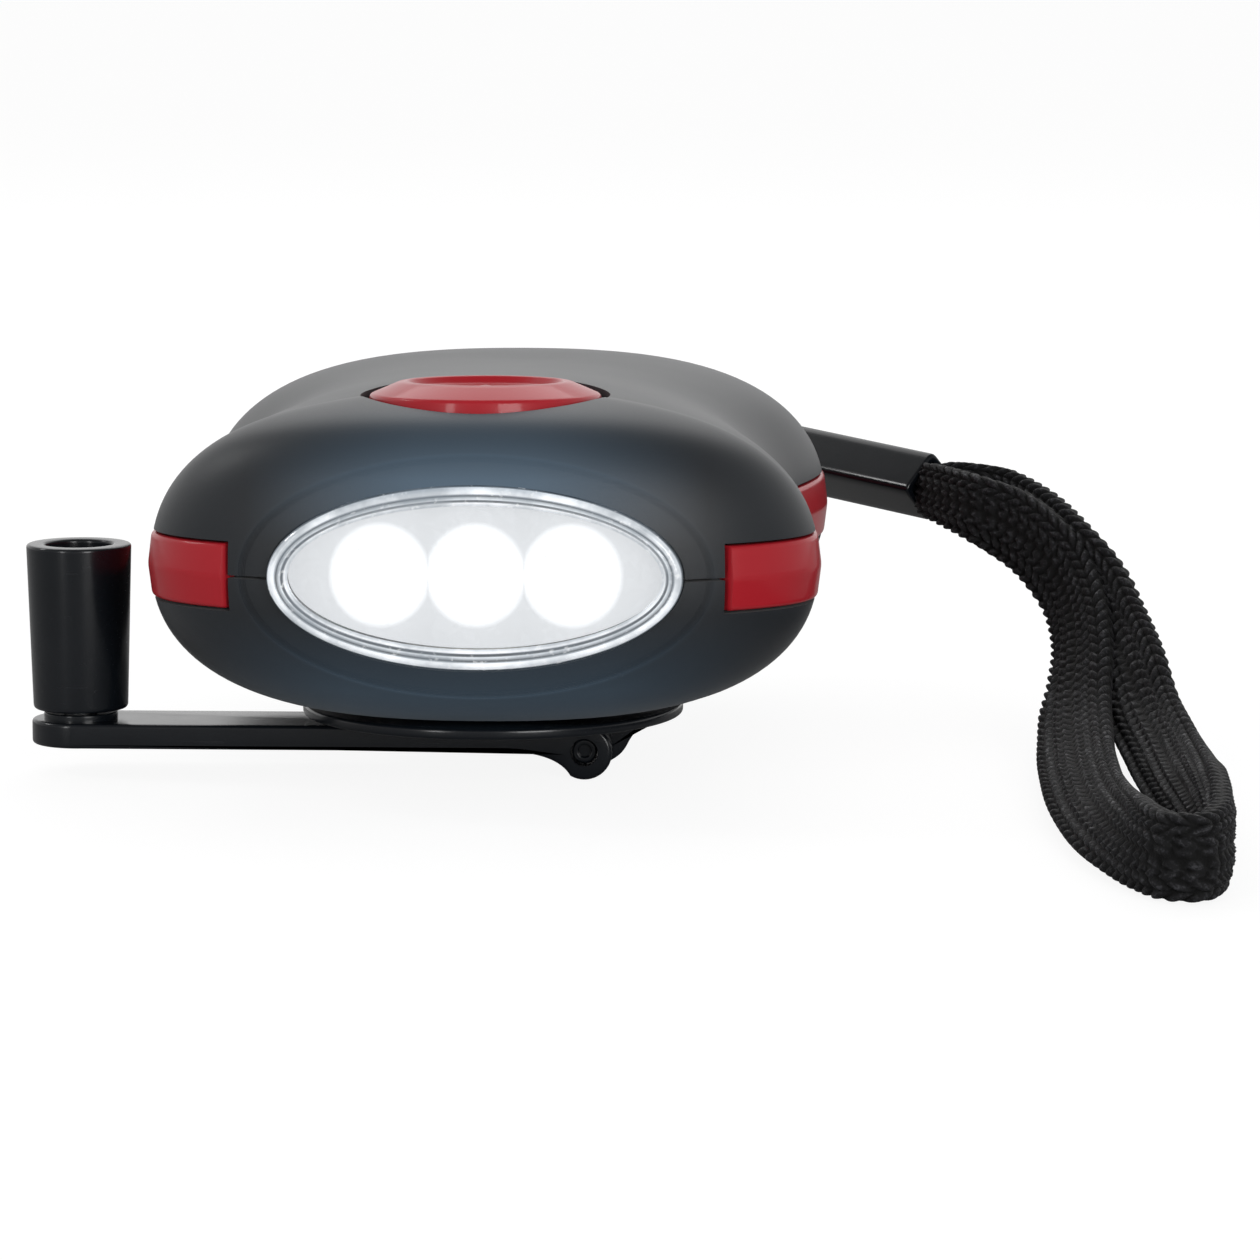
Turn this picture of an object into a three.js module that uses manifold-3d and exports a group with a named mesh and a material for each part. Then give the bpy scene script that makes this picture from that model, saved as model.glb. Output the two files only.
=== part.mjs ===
// Hand crank flashlight with three lamps, a fold-out crank and a wrist strap.
// Millimetres, +Z up. The lamps look along -Y, and the folded crank lies along -X.
// Places are measured from the crank's axis and from the table, and the whole
// object is then moved so that its origin is the middle of its footprint.

import * as THREE from 'three';
import { mergeVertices } from 'three/addons/utils/BufferGeometryUtils.js';
import Module from 'manifold-3d';

const wasm = await Module();
wasm.setup();

// Gaps
const overrun = 20;
const fitGap = 0.3;
const boreGap = 0.2;
const runningGap = 0.12;

// Housing in plan: a front lobe, a waist and a rear lobe
const frontHalfWidth = 30;
const waistHalfWidth = 26.4;
const rearHalfWidth = 30.2;
const frontLobeAhead = 11;
const waistBehind = 13;
const rearLobeBehind = 36.6;
const noseLength = 15;
const tailLength = 28;
const planPower = 2.2;

// Housing in section
const upperHeight = 14.5;
const lowerHeight = 13.9;
const crownPower = 3;
const noseCrownPower = 6;
const flankPower = 2.25;
const roofWall = 2;
const sideWall = 3.6;
const tailWall = 8;
const seamGap = 0.25;

// Crank hinge, arm and hub
const hingeRadius = 2.55;
const hingeOffset = 8.6;
const hingePinRadius = 1.15;
const knuckleRadius = 2.4;
const knuckleWidth = 3.6;
const gussetReach = 4.6;
const gussetDrop = 1.25;
const gussetToeReach = 8.2;
const gussetHeelReach = 3.4;
const gussetHeelDrop = 0.5;
const earWidth = 2.4;
const armWidth = 9;
const armThickness = 2.3;
const armEndRadius = 4.5;
const slotDepth = 4.9;
const earFillet = 5;
const armToDisc = 0.75;
const discRadius = 17.5;
const discThickness = 1.1;
const discEdge = 0.35;
const hubShaftRadius = 3;
const hubScrewRadius = 1.1;
const hubScrewDepth = 5;
const hubScrewHeadRadius = 3.6;
const hubScrewHeadHeight = 1.6;

// Knob, which stands beside the housing when the arm is folded
const knobGap = 3.37;
const knobTopRadius = 4.83;
const knobBaseRadius = 4.35;
const knobHeight = 15.3;
const knobBoreTopRadius = 3.1;
const knobBoreBaseRadius = 2.9;
const knobFloor = 2.4;
const knobEdge = 0.5;
const knobBossRadius = 3.4;
const knobBossHeight = 0.6;
const knobScrewRadius = 1.4;
const knobScrewHeadRadius = 2.5;
const knobScrewHeadHeight = 1.3;
const crankRadius = frontHalfWidth + knobGap + knobTopRadius;

// Side band
const bandHalfHeight = 2.9;
const bandThickness = 1.5;
const bandProud = 0.2;
const bandEdgeSunk = 0.15;
const bandFrontX = 22;
const bandGap = 0.3;

// Lamp opening, lens and reflector
const lensHalfWidth = 18.3;
const lensHalfHeight = 8.05;
const lensRimWidth = 1.7;
const lensThickness = 2.2;
const lensRimRound = 0.55;
const lensWindowSunk = 0.7;
const lensCrown = 0.5;
const lensSunk = 1.4;
const bevelHalfWidth = 20.6;
const bevelHalfHeight = 10.5;
const bevelDepth = 0.9;
const reflectorInset = 1.7;
const reflectorDepth = 5.2;
const cupRadius = 4.15;
const cupNeckRadius = 2.8;
const cupDepth = 3.9;
const ledPitch = 8.46;
const ledRadius = 2.5;
const ledFlangeRadius = 2.9;
const ledFlangeHeight = 1;
const ledLength = 5.4;
const boardThickness = 1.2;
const ledBoardHalfWidth = 15;
const ledBoardHalfHeight = 5.5;

// Power button
const buttonAhead = 9;
const buttonRadius = 10.6;
const buttonWellGap = 0.4;
const buttonSide = 1.6;
const buttonCone = 1.4;
const buttonTopRadius = 7.7;
const buttonDishRadius = 6.65;
const buttonDishDepth = 0.6;
const buttonRise = 1.95;
const buttonSkirt = 3.4;
const buttonWall = 1.6;
const buttonStemRadius = 2.6;
const buttonNubRadius = 1.15;
const buttonNubHeight = 0.45;
const buttonTravel = 1.2;
const buttonTabReach = 1.3;
const buttonTabWidth = 5;
const buttonTabHeight = 1;

// Gear train: size of the teeth (pitch diameter over teeth), their count, face width and play of each pair
const firstToothSize = 1;
const secondToothSize = 0.8;
const thirdToothSize = 0.7;
const driveTeeth = 32;
const firstWheelTeeth = 30;
const secondWheelTeeth = 26;
const pinionTeeth = 10;
const driveFace = 2.5;
const firstWheelFace = 1.8;
const secondWheelFace = 1.8;
const pinionOverlap = 0.4;
const gearStep = 0.6;
const gearFloorGap = 2.4;
const toothPlay = 0.16;
const toothPressureDegrees = 20;
const addendumShare = 0.85;
const dedendumShare = 1.2;
const axleRadius = 1;
const axleBossRadius = 2.4;
const firstGearDegrees = 106;
const secondGearDegrees = 28;
const rotorDegrees = 95;

// Gear plate, generator, cells and boards
const plateThickness = 1.5;
const plateFrontAhead = 14.4;
const rotorShaftRadius = 0.8;
const rotorRadius = 10;
const rotorWall = 2.4;
const rotorRoof = 1.4;
const statorHeight = 6;
const statorFlangeRadius = 6.6;
const statorFlange = 1;
const statorCoreRadius = 3;
const coilRadius = 6;
const statorSleeveGap = 0.35;
const cellRadius = 5.5;
const cellLength = 5.4;
const cellSpacing = 0.3;
const cellX = -8;
const cellBehind = 20;
const mainBoardHalfWidth = 13;
const mainBoardFrontAhead = 14;
const mainBoardBehind = 9;
const switchSide = 8;
const switchHeight = 5.2;
const plungerRadius = 1.5;
const plungerDepth = 3.4;

// Case screws and their posts
const postRadius = 3;
const screwRadius = 1.1;
const screwHeadRadius = 2.3;
const screwHeadHeight = 1.7;
const screwSeatRise = 3.4;
const screwGrip = 7;
const frontPostX = 19;
const frontPostAhead = 12;
const rearPostX = 17;
const rearPostBehind = 51;

// Strap anchor, thin loop, sleeve and strap
const notchHalfWidth = 4;
const notchHalfHeight = 3.5;
const notchDepth = 5.8;
const anchorPinRadius = 0.8;
const anchorPinInset = 2;
const anchorPinSeat = 1.6;
const sleeveSide = 5.2;
const sleeveLength = 28;
const sleeveNear = [40.8, 49.3, 21];
const sleeveTowards = [0.68, -0.73, -0.064];
const sleeveRounding = 0.5;
const strapWidth = 7.4;
const strapThickness = 2.2;
const loopDiameter = 1.2;

// Middle line of the strap, from the sleeve round and back to it: x, y and z,
// then the lean of its width in degrees and the share of its full width
const strapRoute = [
  [40.3, 48.0, 21.0, 84, 0.72],
  [45.0, 40.0, 20.0, 80, 0.9],
  [48.4, 38.0, 18.6, 76, 1],
  [51.4, 34.8, 16.6, 70, 1],
  [53.8, 31.3, 13.8, 62, 1],
  [54.9, 26.3, 10.6, 52, 1],
  [54.8, 20.3, 7.3, 38, 1],
  [54.0, 12.2, 4.4, 27, 1],
  [53.5, -1.9, 2.8, 21, 1],
  [53.4, -20.0, 2.7, 23, 1],
  [54.1, -36.5, 3.0, 36, 1],
  [55.6, -50.0, 3.6, 62, 1],
  [57.1, -57.8, 3.8, 82, 1],
  [58.9, -61.9, 3.85, 90, 1],
  [61.1, -62.2, 3.85, 90, 1],
  [62.9, -58.0, 3.85, 90, 1],
  [63.4, -49.6, 3.8, 95, 1],
  [63.0, -36.5, 3.6, 112, 1],
  [62.2, -20.0, 2.9, 138, 1],
  [61.4, -2.2, 2.9, 153, 1],
  [60.2, 10.0, 4.6, 152, 1],
  [59.4, 17.3, 7.5, 142, 1],
  [58.2, 23.9, 10.2, 130, 1],
  [56.9, 28.8, 13.0, 120, 1],
  [54.3, 33.6, 15.9, 112, 1],
  [51.3, 41.0, 18.2, 104, 1],
  [47.6, 47.4, 19.8, 100, 0.95],
  [44.2, 48.6, 20.7, 97, 0.8],
  [42.4, 49.7, 20.9, 96, 0.72],
];

// Middle line of the thin loop, from the sleeve round the anchor pin and back
const loopRoute = [
  [21.54, 69.98, 23.66],
  [18.6, 71.9, 23.4],
  [13.2, 70.9, 22.9],
  [7.0, 67.0, 22.3],
  [1.9, 63.2, 21.9],
  [1.3, 61.3, 21.6],
  [0, 60.75, 20.9],
  [-1.3, 61.3, 20.2],
  [-1.9, 62.7, 19.95],
  [-0.6, 64.6, 19.9],
  [2.6, 65.6, 19.9],
  [7.2, 67.3, 20.3],
  [13.2, 70.9, 21.1],
  [18.6, 71.9, 21.8],
  [21.54, 69.98, 22.04],
];

// Facets
const roundSteps = 40;
const smallSteps = 14;
const frontSteps = 8;
const sideSteps = 8;
const tailSteps = 7;
const crownSteps = 8;
const capStepShare = 1 / 3;
const ovalSteps = 40;
const strapSteps = 72;
const strapSides = 10;
const loopSteps = 48;
const loopSides = 8;

// Heights that follow from the stack under and in the housing
const hingeZ = hingeRadius;
const armBottom = hingeZ;
const armTop = armBottom + armThickness;
const discBottom = armTop + armToDisc;
const discTop = discBottom + discThickness;
const housingBottom = discTop + fitGap;
const seamZ = housingBottom + lowerHeight;
const floorZ = housingBottom + roofWall;
const driveBottom = floorZ + gearFloorGap;
const driveTop = driveBottom + driveFace;
const firstWheelBottom = driveTop + gearStep;
const firstWheelTop = firstWheelBottom + firstWheelFace;
const secondWheelBottom = firstWheelTop + gearStep + pinionOverlap;
const secondWheelTop = secondWheelBottom + secondWheelFace;
const plateBottom = secondWheelTop + gearStep + pinionOverlap;
const plateTop = plateBottom + plateThickness;

// Places that follow in plan
const noseY = -(frontLobeAhead + noseLength);
const tailY = rearLobeBehind + tailLength;
const lensFrontY = noseY + lensSunk;
const lensBackY = lensFrontY + lensThickness;
const reflectorFrontY = lensBackY + fitGap;
const reflectorBackY = reflectorFrontY + reflectorDepth;
const ledBoardFrontY = reflectorBackY + fitGap;
const notchFloorY = tailY - notchDepth;
const anchorPinY = tailY - anchorPinInset;

// Materials
function plastic(color, roughness, metalness = 0) {
  return new THREE.MeshStandardMaterial({ color, roughness, metalness });
}
const softBlack = 0x2a2f33;
const glossBlack = 0x17191b;
const glossRed = 0x9e2a32;
const strapBlack = 0x1d1d1f;
const steel = 0xb4b6b8;
const clear = 0xdfe6ea;
const lampWhite = 0xf6f8fa;
const silverWhite = 0xd8dadd;
const boardGreen = 0x2e5a3a;
const naturalPlastic = 0xd9d4c4;
const magnetGrey = 0x4a4c50;
const copper = 0xa8623a;
const cellGreen = 0x3f7a52;

// Manifold solids from closed three.js geometry, and back
function solid(geometry) {
  const bare = geometry.clone();
  bare.deleteAttribute('normal');
  bare.deleteAttribute('uv');
  const merged = mergeVertices(bare);
  const vertProperties = new Float32Array(merged.attributes.position.array);
  const triVerts = new Uint32Array(merged.index.array);
  return new wasm.Manifold(new wasm.Mesh({ numProp: 3, vertProperties, triVerts }));
}

function geometryOf(manifold) {
  const mesh = manifold.getMesh();
  const geometry = new THREE.BufferGeometry();
  geometry.setAttribute('position', new THREE.BufferAttribute(mesh.vertProperties, 3));
  geometry.setIndex(new THREE.BufferAttribute(mesh.triVerts, 1));
  geometry.computeVertexNormals();
  return geometry;
}

function join(first, ...others) {
  return others.reduce((sum, other) => sum.add(other), first);
}

function cut(first, ...others) {
  return others.reduce((rest, other) => rest.subtract(other), first);
}

// Skin through rings of equal count. Each end is closed by strips from side to side.
function loft(rings) {
  const count = rings[0].length;
  const positions = rings.flat().flatMap((point) => [point.x, point.y, point.z]);
  const triangles = [];
  for (let level = 0; level + 1 < rings.length; level += 1) {
    for (let i = 0; i < count; i += 1) {
      const next = (i + 1) % count;
      const low = level * count;
      const high = low + count;
      triangles.push(low + i, low + next, high + next, low + i, high + next, high + i);
    }
  }
  const top = (rings.length - 1) * count;
  for (let i = 0; i < count / 2; i += 1) {
    const left = (count - i) % count;
    const nextLeft = count - i - 1;
    if (i > 0) {
      triangles.push(i, left, i + 1);
      triangles.push(top + i, top + i + 1, top + left);
    }
    if (i + 1 < nextLeft) {
      triangles.push(left, nextLeft, i + 1);
      triangles.push(top + left, top + i + 1, top + nextLeft);
    }
  }
  const geometry = new THREE.BufferGeometry();
  geometry.setAttribute('position', new THREE.Float32BufferAttribute(positions, 3));
  geometry.setIndex(volumeOf(positions, triangles) < 0 ? triangles.reverse() : triangles);
  return geometry;
}

function volumeOf(positions, triangles) {
  const corner = (i) => new THREE.Vector3().fromArray(positions, i * 3);
  let sum = 0;
  for (let i = 0; i < triangles.length; i += 3) {
    const [a, b, c] = [corner(triangles[i]), corner(triangles[i + 1]), corner(triangles[i + 2])];
    sum += a.dot(b.cross(c));
  }
  return sum;
}

// Upright cylinder between two heights
function post(radius, low, high, x = 0, y = 0, steps = smallSteps) {
  const geometry = new THREE.CylinderGeometry(radius, radius, high - low, steps);
  return geometry.rotateX(Math.PI / 2).translate(x, y, (low + high) / 2);
}

// Block between two corners
function block(low, high) {
  const size = new THREE.Vector3().subVectors(high, low);
  const middle = new THREE.Vector3().addVectors(low, high).multiplyScalar(1 / 2);
  return new THREE.BoxGeometry(size.x, size.y, size.z).translate(middle.x, middle.y, middle.z);
}

// Profile of [radius, height] pairs turned round the upright axis
function turned(profile, steps = roundSteps) {
  const points = profile.map(([radius, height]) => new THREE.Vector2(radius, height));
  return new THREE.LatheGeometry(points, steps).rotateX(Math.PI / 2);
}

// Stack of upright ovals across the lamps' line of sight, as [inset, y] pairs
function ovals(halfWidth, halfHeight, levels) {
  const rings = levels.map(([inset, y]) => {
    const ring = [];
    for (let i = 0; i < ovalSteps; i += 1) {
      const angle = (i / ovalSteps) * 2 * Math.PI;
      const x = (halfWidth - inset) * Math.cos(angle);
      const z = (halfHeight - inset) * Math.sin(angle);
      ring.push(new THREE.Vector3(x, y, z));
    }
    return ring;
  });
  return loft(rings).translate(0, 0, seamZ);
}

// Housing outline, drawn in from the outer one by an inset, from the nose round to the nose
function halfWidthAt(y, inset) {
  const ahead = y < waistBehind;
  const wide = (ahead ? frontHalfWidth : rearHalfWidth) - inset;
  const from = ahead ? -frontLobeAhead : rearLobeBehind;
  const turn = Math.PI * ((y - from) / (waistBehind - from));
  const narrow = waistHalfWidth - inset;
  return narrow + ((wide - narrow) * (1 + Math.cos(turn))) / 2;
}

function outline(inset, tailInset = inset) {
  const right = [];
  const bend = 2 / planPower;
  for (let i = 0; i < frontSteps; i += 1) {
    const angle = (i / frontSteps) * (Math.PI / 2);
    const x = (frontHalfWidth - inset) * Math.sin(angle) ** bend;
    const y = -frontLobeAhead - (noseLength - inset) * Math.cos(angle) ** bend;
    right.push(new THREE.Vector2(x, y));
  }
  for (let i = 0; i < sideSteps; i += 1) {
    const y = -frontLobeAhead + (i / sideSteps) * (frontLobeAhead + rearLobeBehind);
    right.push(new THREE.Vector2(halfWidthAt(y, inset), y));
  }
  for (let i = 0; i < tailSteps; i += 1) {
    const angle = (i / tailSteps) * (Math.PI / 2);
    const x = (rearHalfWidth - inset) * Math.cos(angle) ** bend;
    const y = rearLobeBehind + (tailLength - tailInset) * Math.sin(angle) ** bend;
    right.push(new THREE.Vector2(x, y));
  }
  const left = right.slice(1).reverse().map((point) => new THREE.Vector2(-point.x, point.y));
  return [...right, new THREE.Vector2(0, tailY - tailInset), ...left];
}

// Ring at one height, drawn towards the ridge between the two lobes' middles
function levelRing(plan, shareAt, z) {
  return plan.map((point) => {
    const share = shareAt(point);
    const ridgeY = THREE.MathUtils.clamp(point.y, -frontLobeAhead, rearLobeBehind);
    return new THREE.Vector3(point.x * share, ridgeY + (point.y - ridgeY) * share, z);
  });
}
const whole = () => 1;

// Crowned half of the housing. A level at share s of the way out from the ridge
// stands at height (1 - s^crown)^(1/flank) of the whole. The nose has its own crown
// power, which fades into the sides' one.
function crown(inset, tailInset, height, nosePower, startZ, direction) {
  const plan = outline(inset, tailInset);
  const rings = startZ === seamZ ? [] : [levelRing(plan, whole, startZ)];
  for (let i = 0; i <= crownSteps; i += 1) {
    const angle = (Math.min(i, crownSteps - capStepShare) / crownSteps) * (Math.PI / 2);
    const shareAt = (point) => {
      const ahead = THREE.MathUtils.clamp((-frontLobeAhead - point.y) / (noseLength - inset), 0, 1);
      return Math.cos(angle) ** (2 / THREE.MathUtils.lerp(crownPower, nosePower, ahead));
    };
    const rise = i === crownSteps ? 1 : Math.sin(angle) ** (2 / flankPower);
    rings.push(levelRing(plan, shareAt, seamZ + direction * height * rise));
  }
  return loft(rings);
}

// Depth of the lower half from the seam, at a place in plan
function floorDepth(x, y) {
  const ridgeY = THREE.MathUtils.clamp(y, -frontLobeAhead, rearLobeBehind);
  const across = Math.abs(x) / halfWidthAt(ridgeY, 0);
  const along = Math.abs(y - ridgeY) / (y < -frontLobeAhead ? noseLength : tailLength);
  const share = (across ** planPower + along ** planPower) ** (1 / planPower);
  return lowerHeight * (1 - Math.min(share, 1) ** crownPower) ** (1 / flankPower);
}

// Straight wall that follows the housing's outline
function outlineWall(inset, low, high, tailInset = inset) {
  const plan = outline(inset, tailInset);
  return loft([levelRing(plan, whole, low), levelRing(plan, whole, high)]);
}

// Places of the case screws
const postPlaces = {
  front_left: [-frontPostX, -frontPostAhead],
  front_right: [frontPostX, -frontPostAhead],
  rear_left: [-rearPostX, rearPostBehind],
  rear_right: [rearPostX, rearPostBehind],
};

function screwSeatZ(x, y) {
  return seamZ - floorDepth(x, y) + screwSeatRise;
}

function axleFoot([x, y]) {
  return seamZ - floorDepth(x, y) + roofWall / 2 + boreGap;
}

// Places of the gears
function reach(from, degrees, length) {
  const angle = THREE.MathUtils.degToRad(degrees);
  return [from[0] + length * Math.cos(angle), from[1] + length * Math.sin(angle)];
}
const firstCentres = (firstToothSize * (driveTeeth + pinionTeeth)) / 2;
const secondCentres = (secondToothSize * (firstWheelTeeth + pinionTeeth)) / 2;
const thirdCentres = (thirdToothSize * (secondWheelTeeth + pinionTeeth)) / 2;
const firstAt = reach([0, 0], firstGearDegrees, firstCentres);
const secondAt = reach(firstAt, secondGearDegrees, secondCentres);
const rotorAt = reach(secondAt, rotorDegrees, thirdCentres);

// Cutters that both housing halves share
function lampCutters() {
  const bevelY = lensFrontY - bevelDepth;
  const mouth = [[0, noseY - overrun], [0, bevelY], [bevelHalfWidth - lensHalfWidth - fitGap, lensFrontY]];
  const bevel = ovals(bevelHalfWidth, bevelHalfHeight, mouth);
  const seat = ovals(lensHalfWidth, lensHalfHeight, [[-fitGap, noseY], [-fitGap, reflectorFrontY]]);
  const throatInset = reflectorInset - fitGap;
  const throat = ovals(lensHalfWidth, lensHalfHeight, [[throatInset, noseY], [throatInset, reflectorBackY]]);
  return [solid(bevel), solid(seat), solid(throat)];
}

function bandCutter() {
  const low = seamZ - bandHalfHeight - bandGap;
  const high = seamZ + bandHalfHeight + bandGap;
  const around = solid(outlineWall(-overrun, low, high));
  const core = solid(outlineWall(bandThickness + bandGap, low - overrun, high + overrun));
  const frontX = bandFrontX - bandGap;
  const nose = solid(block(
    new THREE.Vector3(-frontX, noseY - overrun - overrun, low - overrun),
    new THREE.Vector3(frontX, -frontLobeAhead, high + overrun),
  ));
  return cut(around, core, nose);
}

function notchCutter(gap) {
  return solid(block(
    new THREE.Vector3(-notchHalfWidth - gap, notchFloorY, seamZ - notchHalfHeight - gap),
    new THREE.Vector3(notchHalfWidth + gap, tailY + overrun, seamZ + notchHalfHeight + gap),
  ));
}

function anchorPinCutter() {
  const reachZ = notchHalfHeight + anchorPinSeat + boreGap;
  return solid(post(anchorPinRadius + boreGap, seamZ - reachZ, seamZ + reachZ, 0, anchorPinY));
}

function seamCutter() {
  return solid(block(
    new THREE.Vector3(-frontHalfWidth - overrun, noseY - overrun, seamZ - seamGap / 2),
    new THREE.Vector3(frontHalfWidth + overrun, tailY + overrun, seamZ + seamGap / 2),
  ));
}

// Upper shell: crowned roof with the button's well, screw posts and the lamp opening
function upperShell() {
  const outer = solid(crown(0, 0, upperHeight, noseCrownPower, seamZ, 1));
  const inner = solid(crown(sideWall, tailWall, upperHeight - roofWall, noseCrownPower, seamZ - overrun, 1));
  let shell = cut(outer, inner);
  for (const [x, y] of Object.values(postPlaces)) {
    const stand = solid(post(postRadius, seamZ, seamZ + upperHeight, x, y));
    shell = shell.add(stand.intersect(outer));
    const pilotTop = screwSeatZ(x, y) + screwGrip + boreGap;
    shell = shell.subtract(solid(post(screwRadius + boreGap, seamZ - overrun, pilotTop, x, y)));
  }
  const wellRadius = buttonRadius + buttonWellGap;
  const roofZ = seamZ + upperHeight;
  const well = post(wellRadius, seamZ + upperHeight / 2, roofZ + overrun, 0, -buttonAhead, roundSteps);
  return cut(
    shell, solid(well), ...lampCutters(),
    bandCutter(), notchCutter(0), anchorPinCutter(), seamCutter(),
  );
}

// Lower shell: crowned floor with the hub's bore, axle bosses and screw seats
function lowerShell() {
  const outer = solid(crown(0, 0, lowerHeight, crownPower, seamZ, -1));
  const inner = solid(crown(sideWall, tailWall, lowerHeight - roofWall, crownPower, seamZ + overrun, -1));
  let shell = cut(outer, inner);
  for (const [x, y] of Object.values(postPlaces)) {
    const seat = screwSeatZ(x, y);
    const stand = solid(post(postRadius, housingBottom, seamZ, x, y));
    shell = shell.add(stand.intersect(outer));
    shell = shell.subtract(solid(post(screwRadius + boreGap, housingBottom, seamZ + overrun, x, y)));
    shell = shell.subtract(solid(post(screwHeadRadius + fitGap, housingBottom - overrun, seat, x, y)));
  }
  for (const [x, y] of [firstAt, secondAt]) {
    const floor = axleFoot([x, y]) - boreGap;
    shell = shell.add(solid(post(axleBossRadius, floor, driveBottom - boreGap, x, y)));
    shell = shell.subtract(solid(post(axleRadius + boreGap, floor, driveTop, x, y)));
  }
  const bore = post(hubShaftRadius + runningGap, housingBottom - overrun, driveTop, 0, 0, roundSteps);
  return cut(
    shell, solid(bore), ...lampCutters(),
    bandCutter(), notchCutter(0), anchorPinCutter(), seamCutter(),
  );
}

// Side band: a strip round one side to the notch in the tail, creased at half height
function sideBand(side) {
  const rings = (inset, middleInset) => {
    const edge = outline(inset);
    const middle = outline(middleInset);
    return [
      levelRing(edge, whole, seamZ - bandHalfHeight),
      levelRing(middle, whole, seamZ),
      levelRing(edge, whole, seamZ + bandHalfHeight),
    ];
  };
  const outer = solid(loft(rings(bandEdgeSunk, -bandProud)));
  const core = solid(outlineWall(bandThickness, seamZ - overrun, seamZ + overrun));
  const nose = solid(block(
    new THREE.Vector3(-bandFrontX, noseY - overrun, seamZ - overrun),
    new THREE.Vector3(bandFrontX, -frontLobeAhead, seamZ + overrun),
  ));
  const far = -side * (frontHalfWidth + overrun);
  const otherSide = solid(block(
    new THREE.Vector3(Math.min(far, 0), noseY - overrun, seamZ - overrun),
    new THREE.Vector3(Math.max(far, 0), tailY + overrun, seamZ + overrun),
  ));
  return cut(outer, core, nose, otherSide, notchCutter(bandGap));
}

// Lens: clear oval with a rounded rim and a crowned window behind it
function lens() {
  const windowY = lensFrontY + lensWindowSunk;
  return solid(ovals(lensHalfWidth, lensHalfHeight, [
    [0, lensBackY],
    [0, lensFrontY + lensRimRound],
    [lensRimRound, lensFrontY],
    [lensRimWidth - lensRimRound, lensFrontY],
    [lensRimWidth, windowY],
    [lensHalfHeight / 2, windowY - lensCrown / 2],
    [lensHalfHeight - lensRimRound, windowY - lensCrown],
  ]));
}

// Reflector: oval block with three round cups and a neck behind each for its lamp
function reflector() {
  const body = solid(ovals(lensHalfWidth, lensHalfHeight, [
    [reflectorInset, reflectorBackY],
    [reflectorInset, reflectorFrontY],
  ]));
  const cups = ledPlaces.map((x) => {
    const bowl = turned([
      [0, -cupDepth],
      [cupNeckRadius, -cupDepth],
      [(cupRadius + cupNeckRadius) / 2, -cupDepth / 2 - cupDepth / 8],
      [cupRadius, 0],
      [cupRadius, overrun],
      [0, overrun],
    ]);
    const neck = post(cupNeckRadius, -reflectorDepth - overrun, 0);
    const together = solid(bowl).add(solid(neck));
    return solid(geometryOf(together).rotateX(Math.PI / 2).translate(x, reflectorFrontY, seamZ));
  });
  return cut(body, ...cups);
}

// Lamp: round body with a flange at its foot and a dome
const ledPlaces = [-ledPitch, 0, ledPitch];
function led() {
  const profile = [
    [0, 0],
    [ledFlangeRadius - ledRadius / 8, 0],
    [ledFlangeRadius - ledRadius / 8, ledFlangeHeight],
    [ledRadius, ledFlangeHeight],
    [ledRadius, ledLength - ledRadius],
  ];
  const domeSteps = 5;
  for (let i = 1; i < domeSteps; i += 1) {
    const angle = (i / domeSteps) * (Math.PI / 2);
    profile.push([ledRadius * Math.cos(angle), ledLength - ledRadius + ledRadius * Math.sin(angle)]);
  }
  profile.push([0, ledLength]);
  return turned(profile, smallSteps).rotateX(Math.PI / 2);
}

// Power button: dished cap with a cone round it, a skirt, a stem and two side tabs
const buttonTop = seamZ + upperHeight + buttonRise;
function powerButton() {
  const sideTop = buttonTop - buttonCone;
  const foot = sideTop - buttonSide - buttonSkirt;
  const dish = buttonTop - buttonDishDepth;
  const ceiling = dish - buttonWall;
  const cap = turned([
    [0, dish + buttonNubHeight],
    [buttonNubRadius, dish + buttonNubHeight / 2],
    [buttonNubRadius, dish],
    [buttonDishRadius / 2, dish + buttonDishDepth / 8],
    [buttonDishRadius, buttonTop - buttonDishDepth / 8],
    [(buttonDishRadius + buttonTopRadius) / 2, buttonTop],
    [buttonTopRadius, buttonTop - buttonDishDepth / 8],
    [buttonRadius, sideTop],
    [buttonRadius, foot],
    [buttonRadius - buttonWall, foot],
    [buttonRadius - buttonWall, ceiling],
    [buttonStemRadius, ceiling],
    [buttonStemRadius, foot],
    [0, foot],
  ].reverse());
  const tabs = [-1, 1].map((side) => {
    const inner = side * (buttonRadius - buttonWall / 2);
    const outer = side * (buttonRadius + buttonTabReach);
    return solid(block(
      new THREE.Vector3(Math.min(inner, outer), -buttonTabWidth / 2, foot),
      new THREE.Vector3(Math.max(inner, outer), buttonTabWidth / 2, foot + buttonTabHeight),
    ));
  });
  return join(solid(cap), ...tabs);
}

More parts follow.
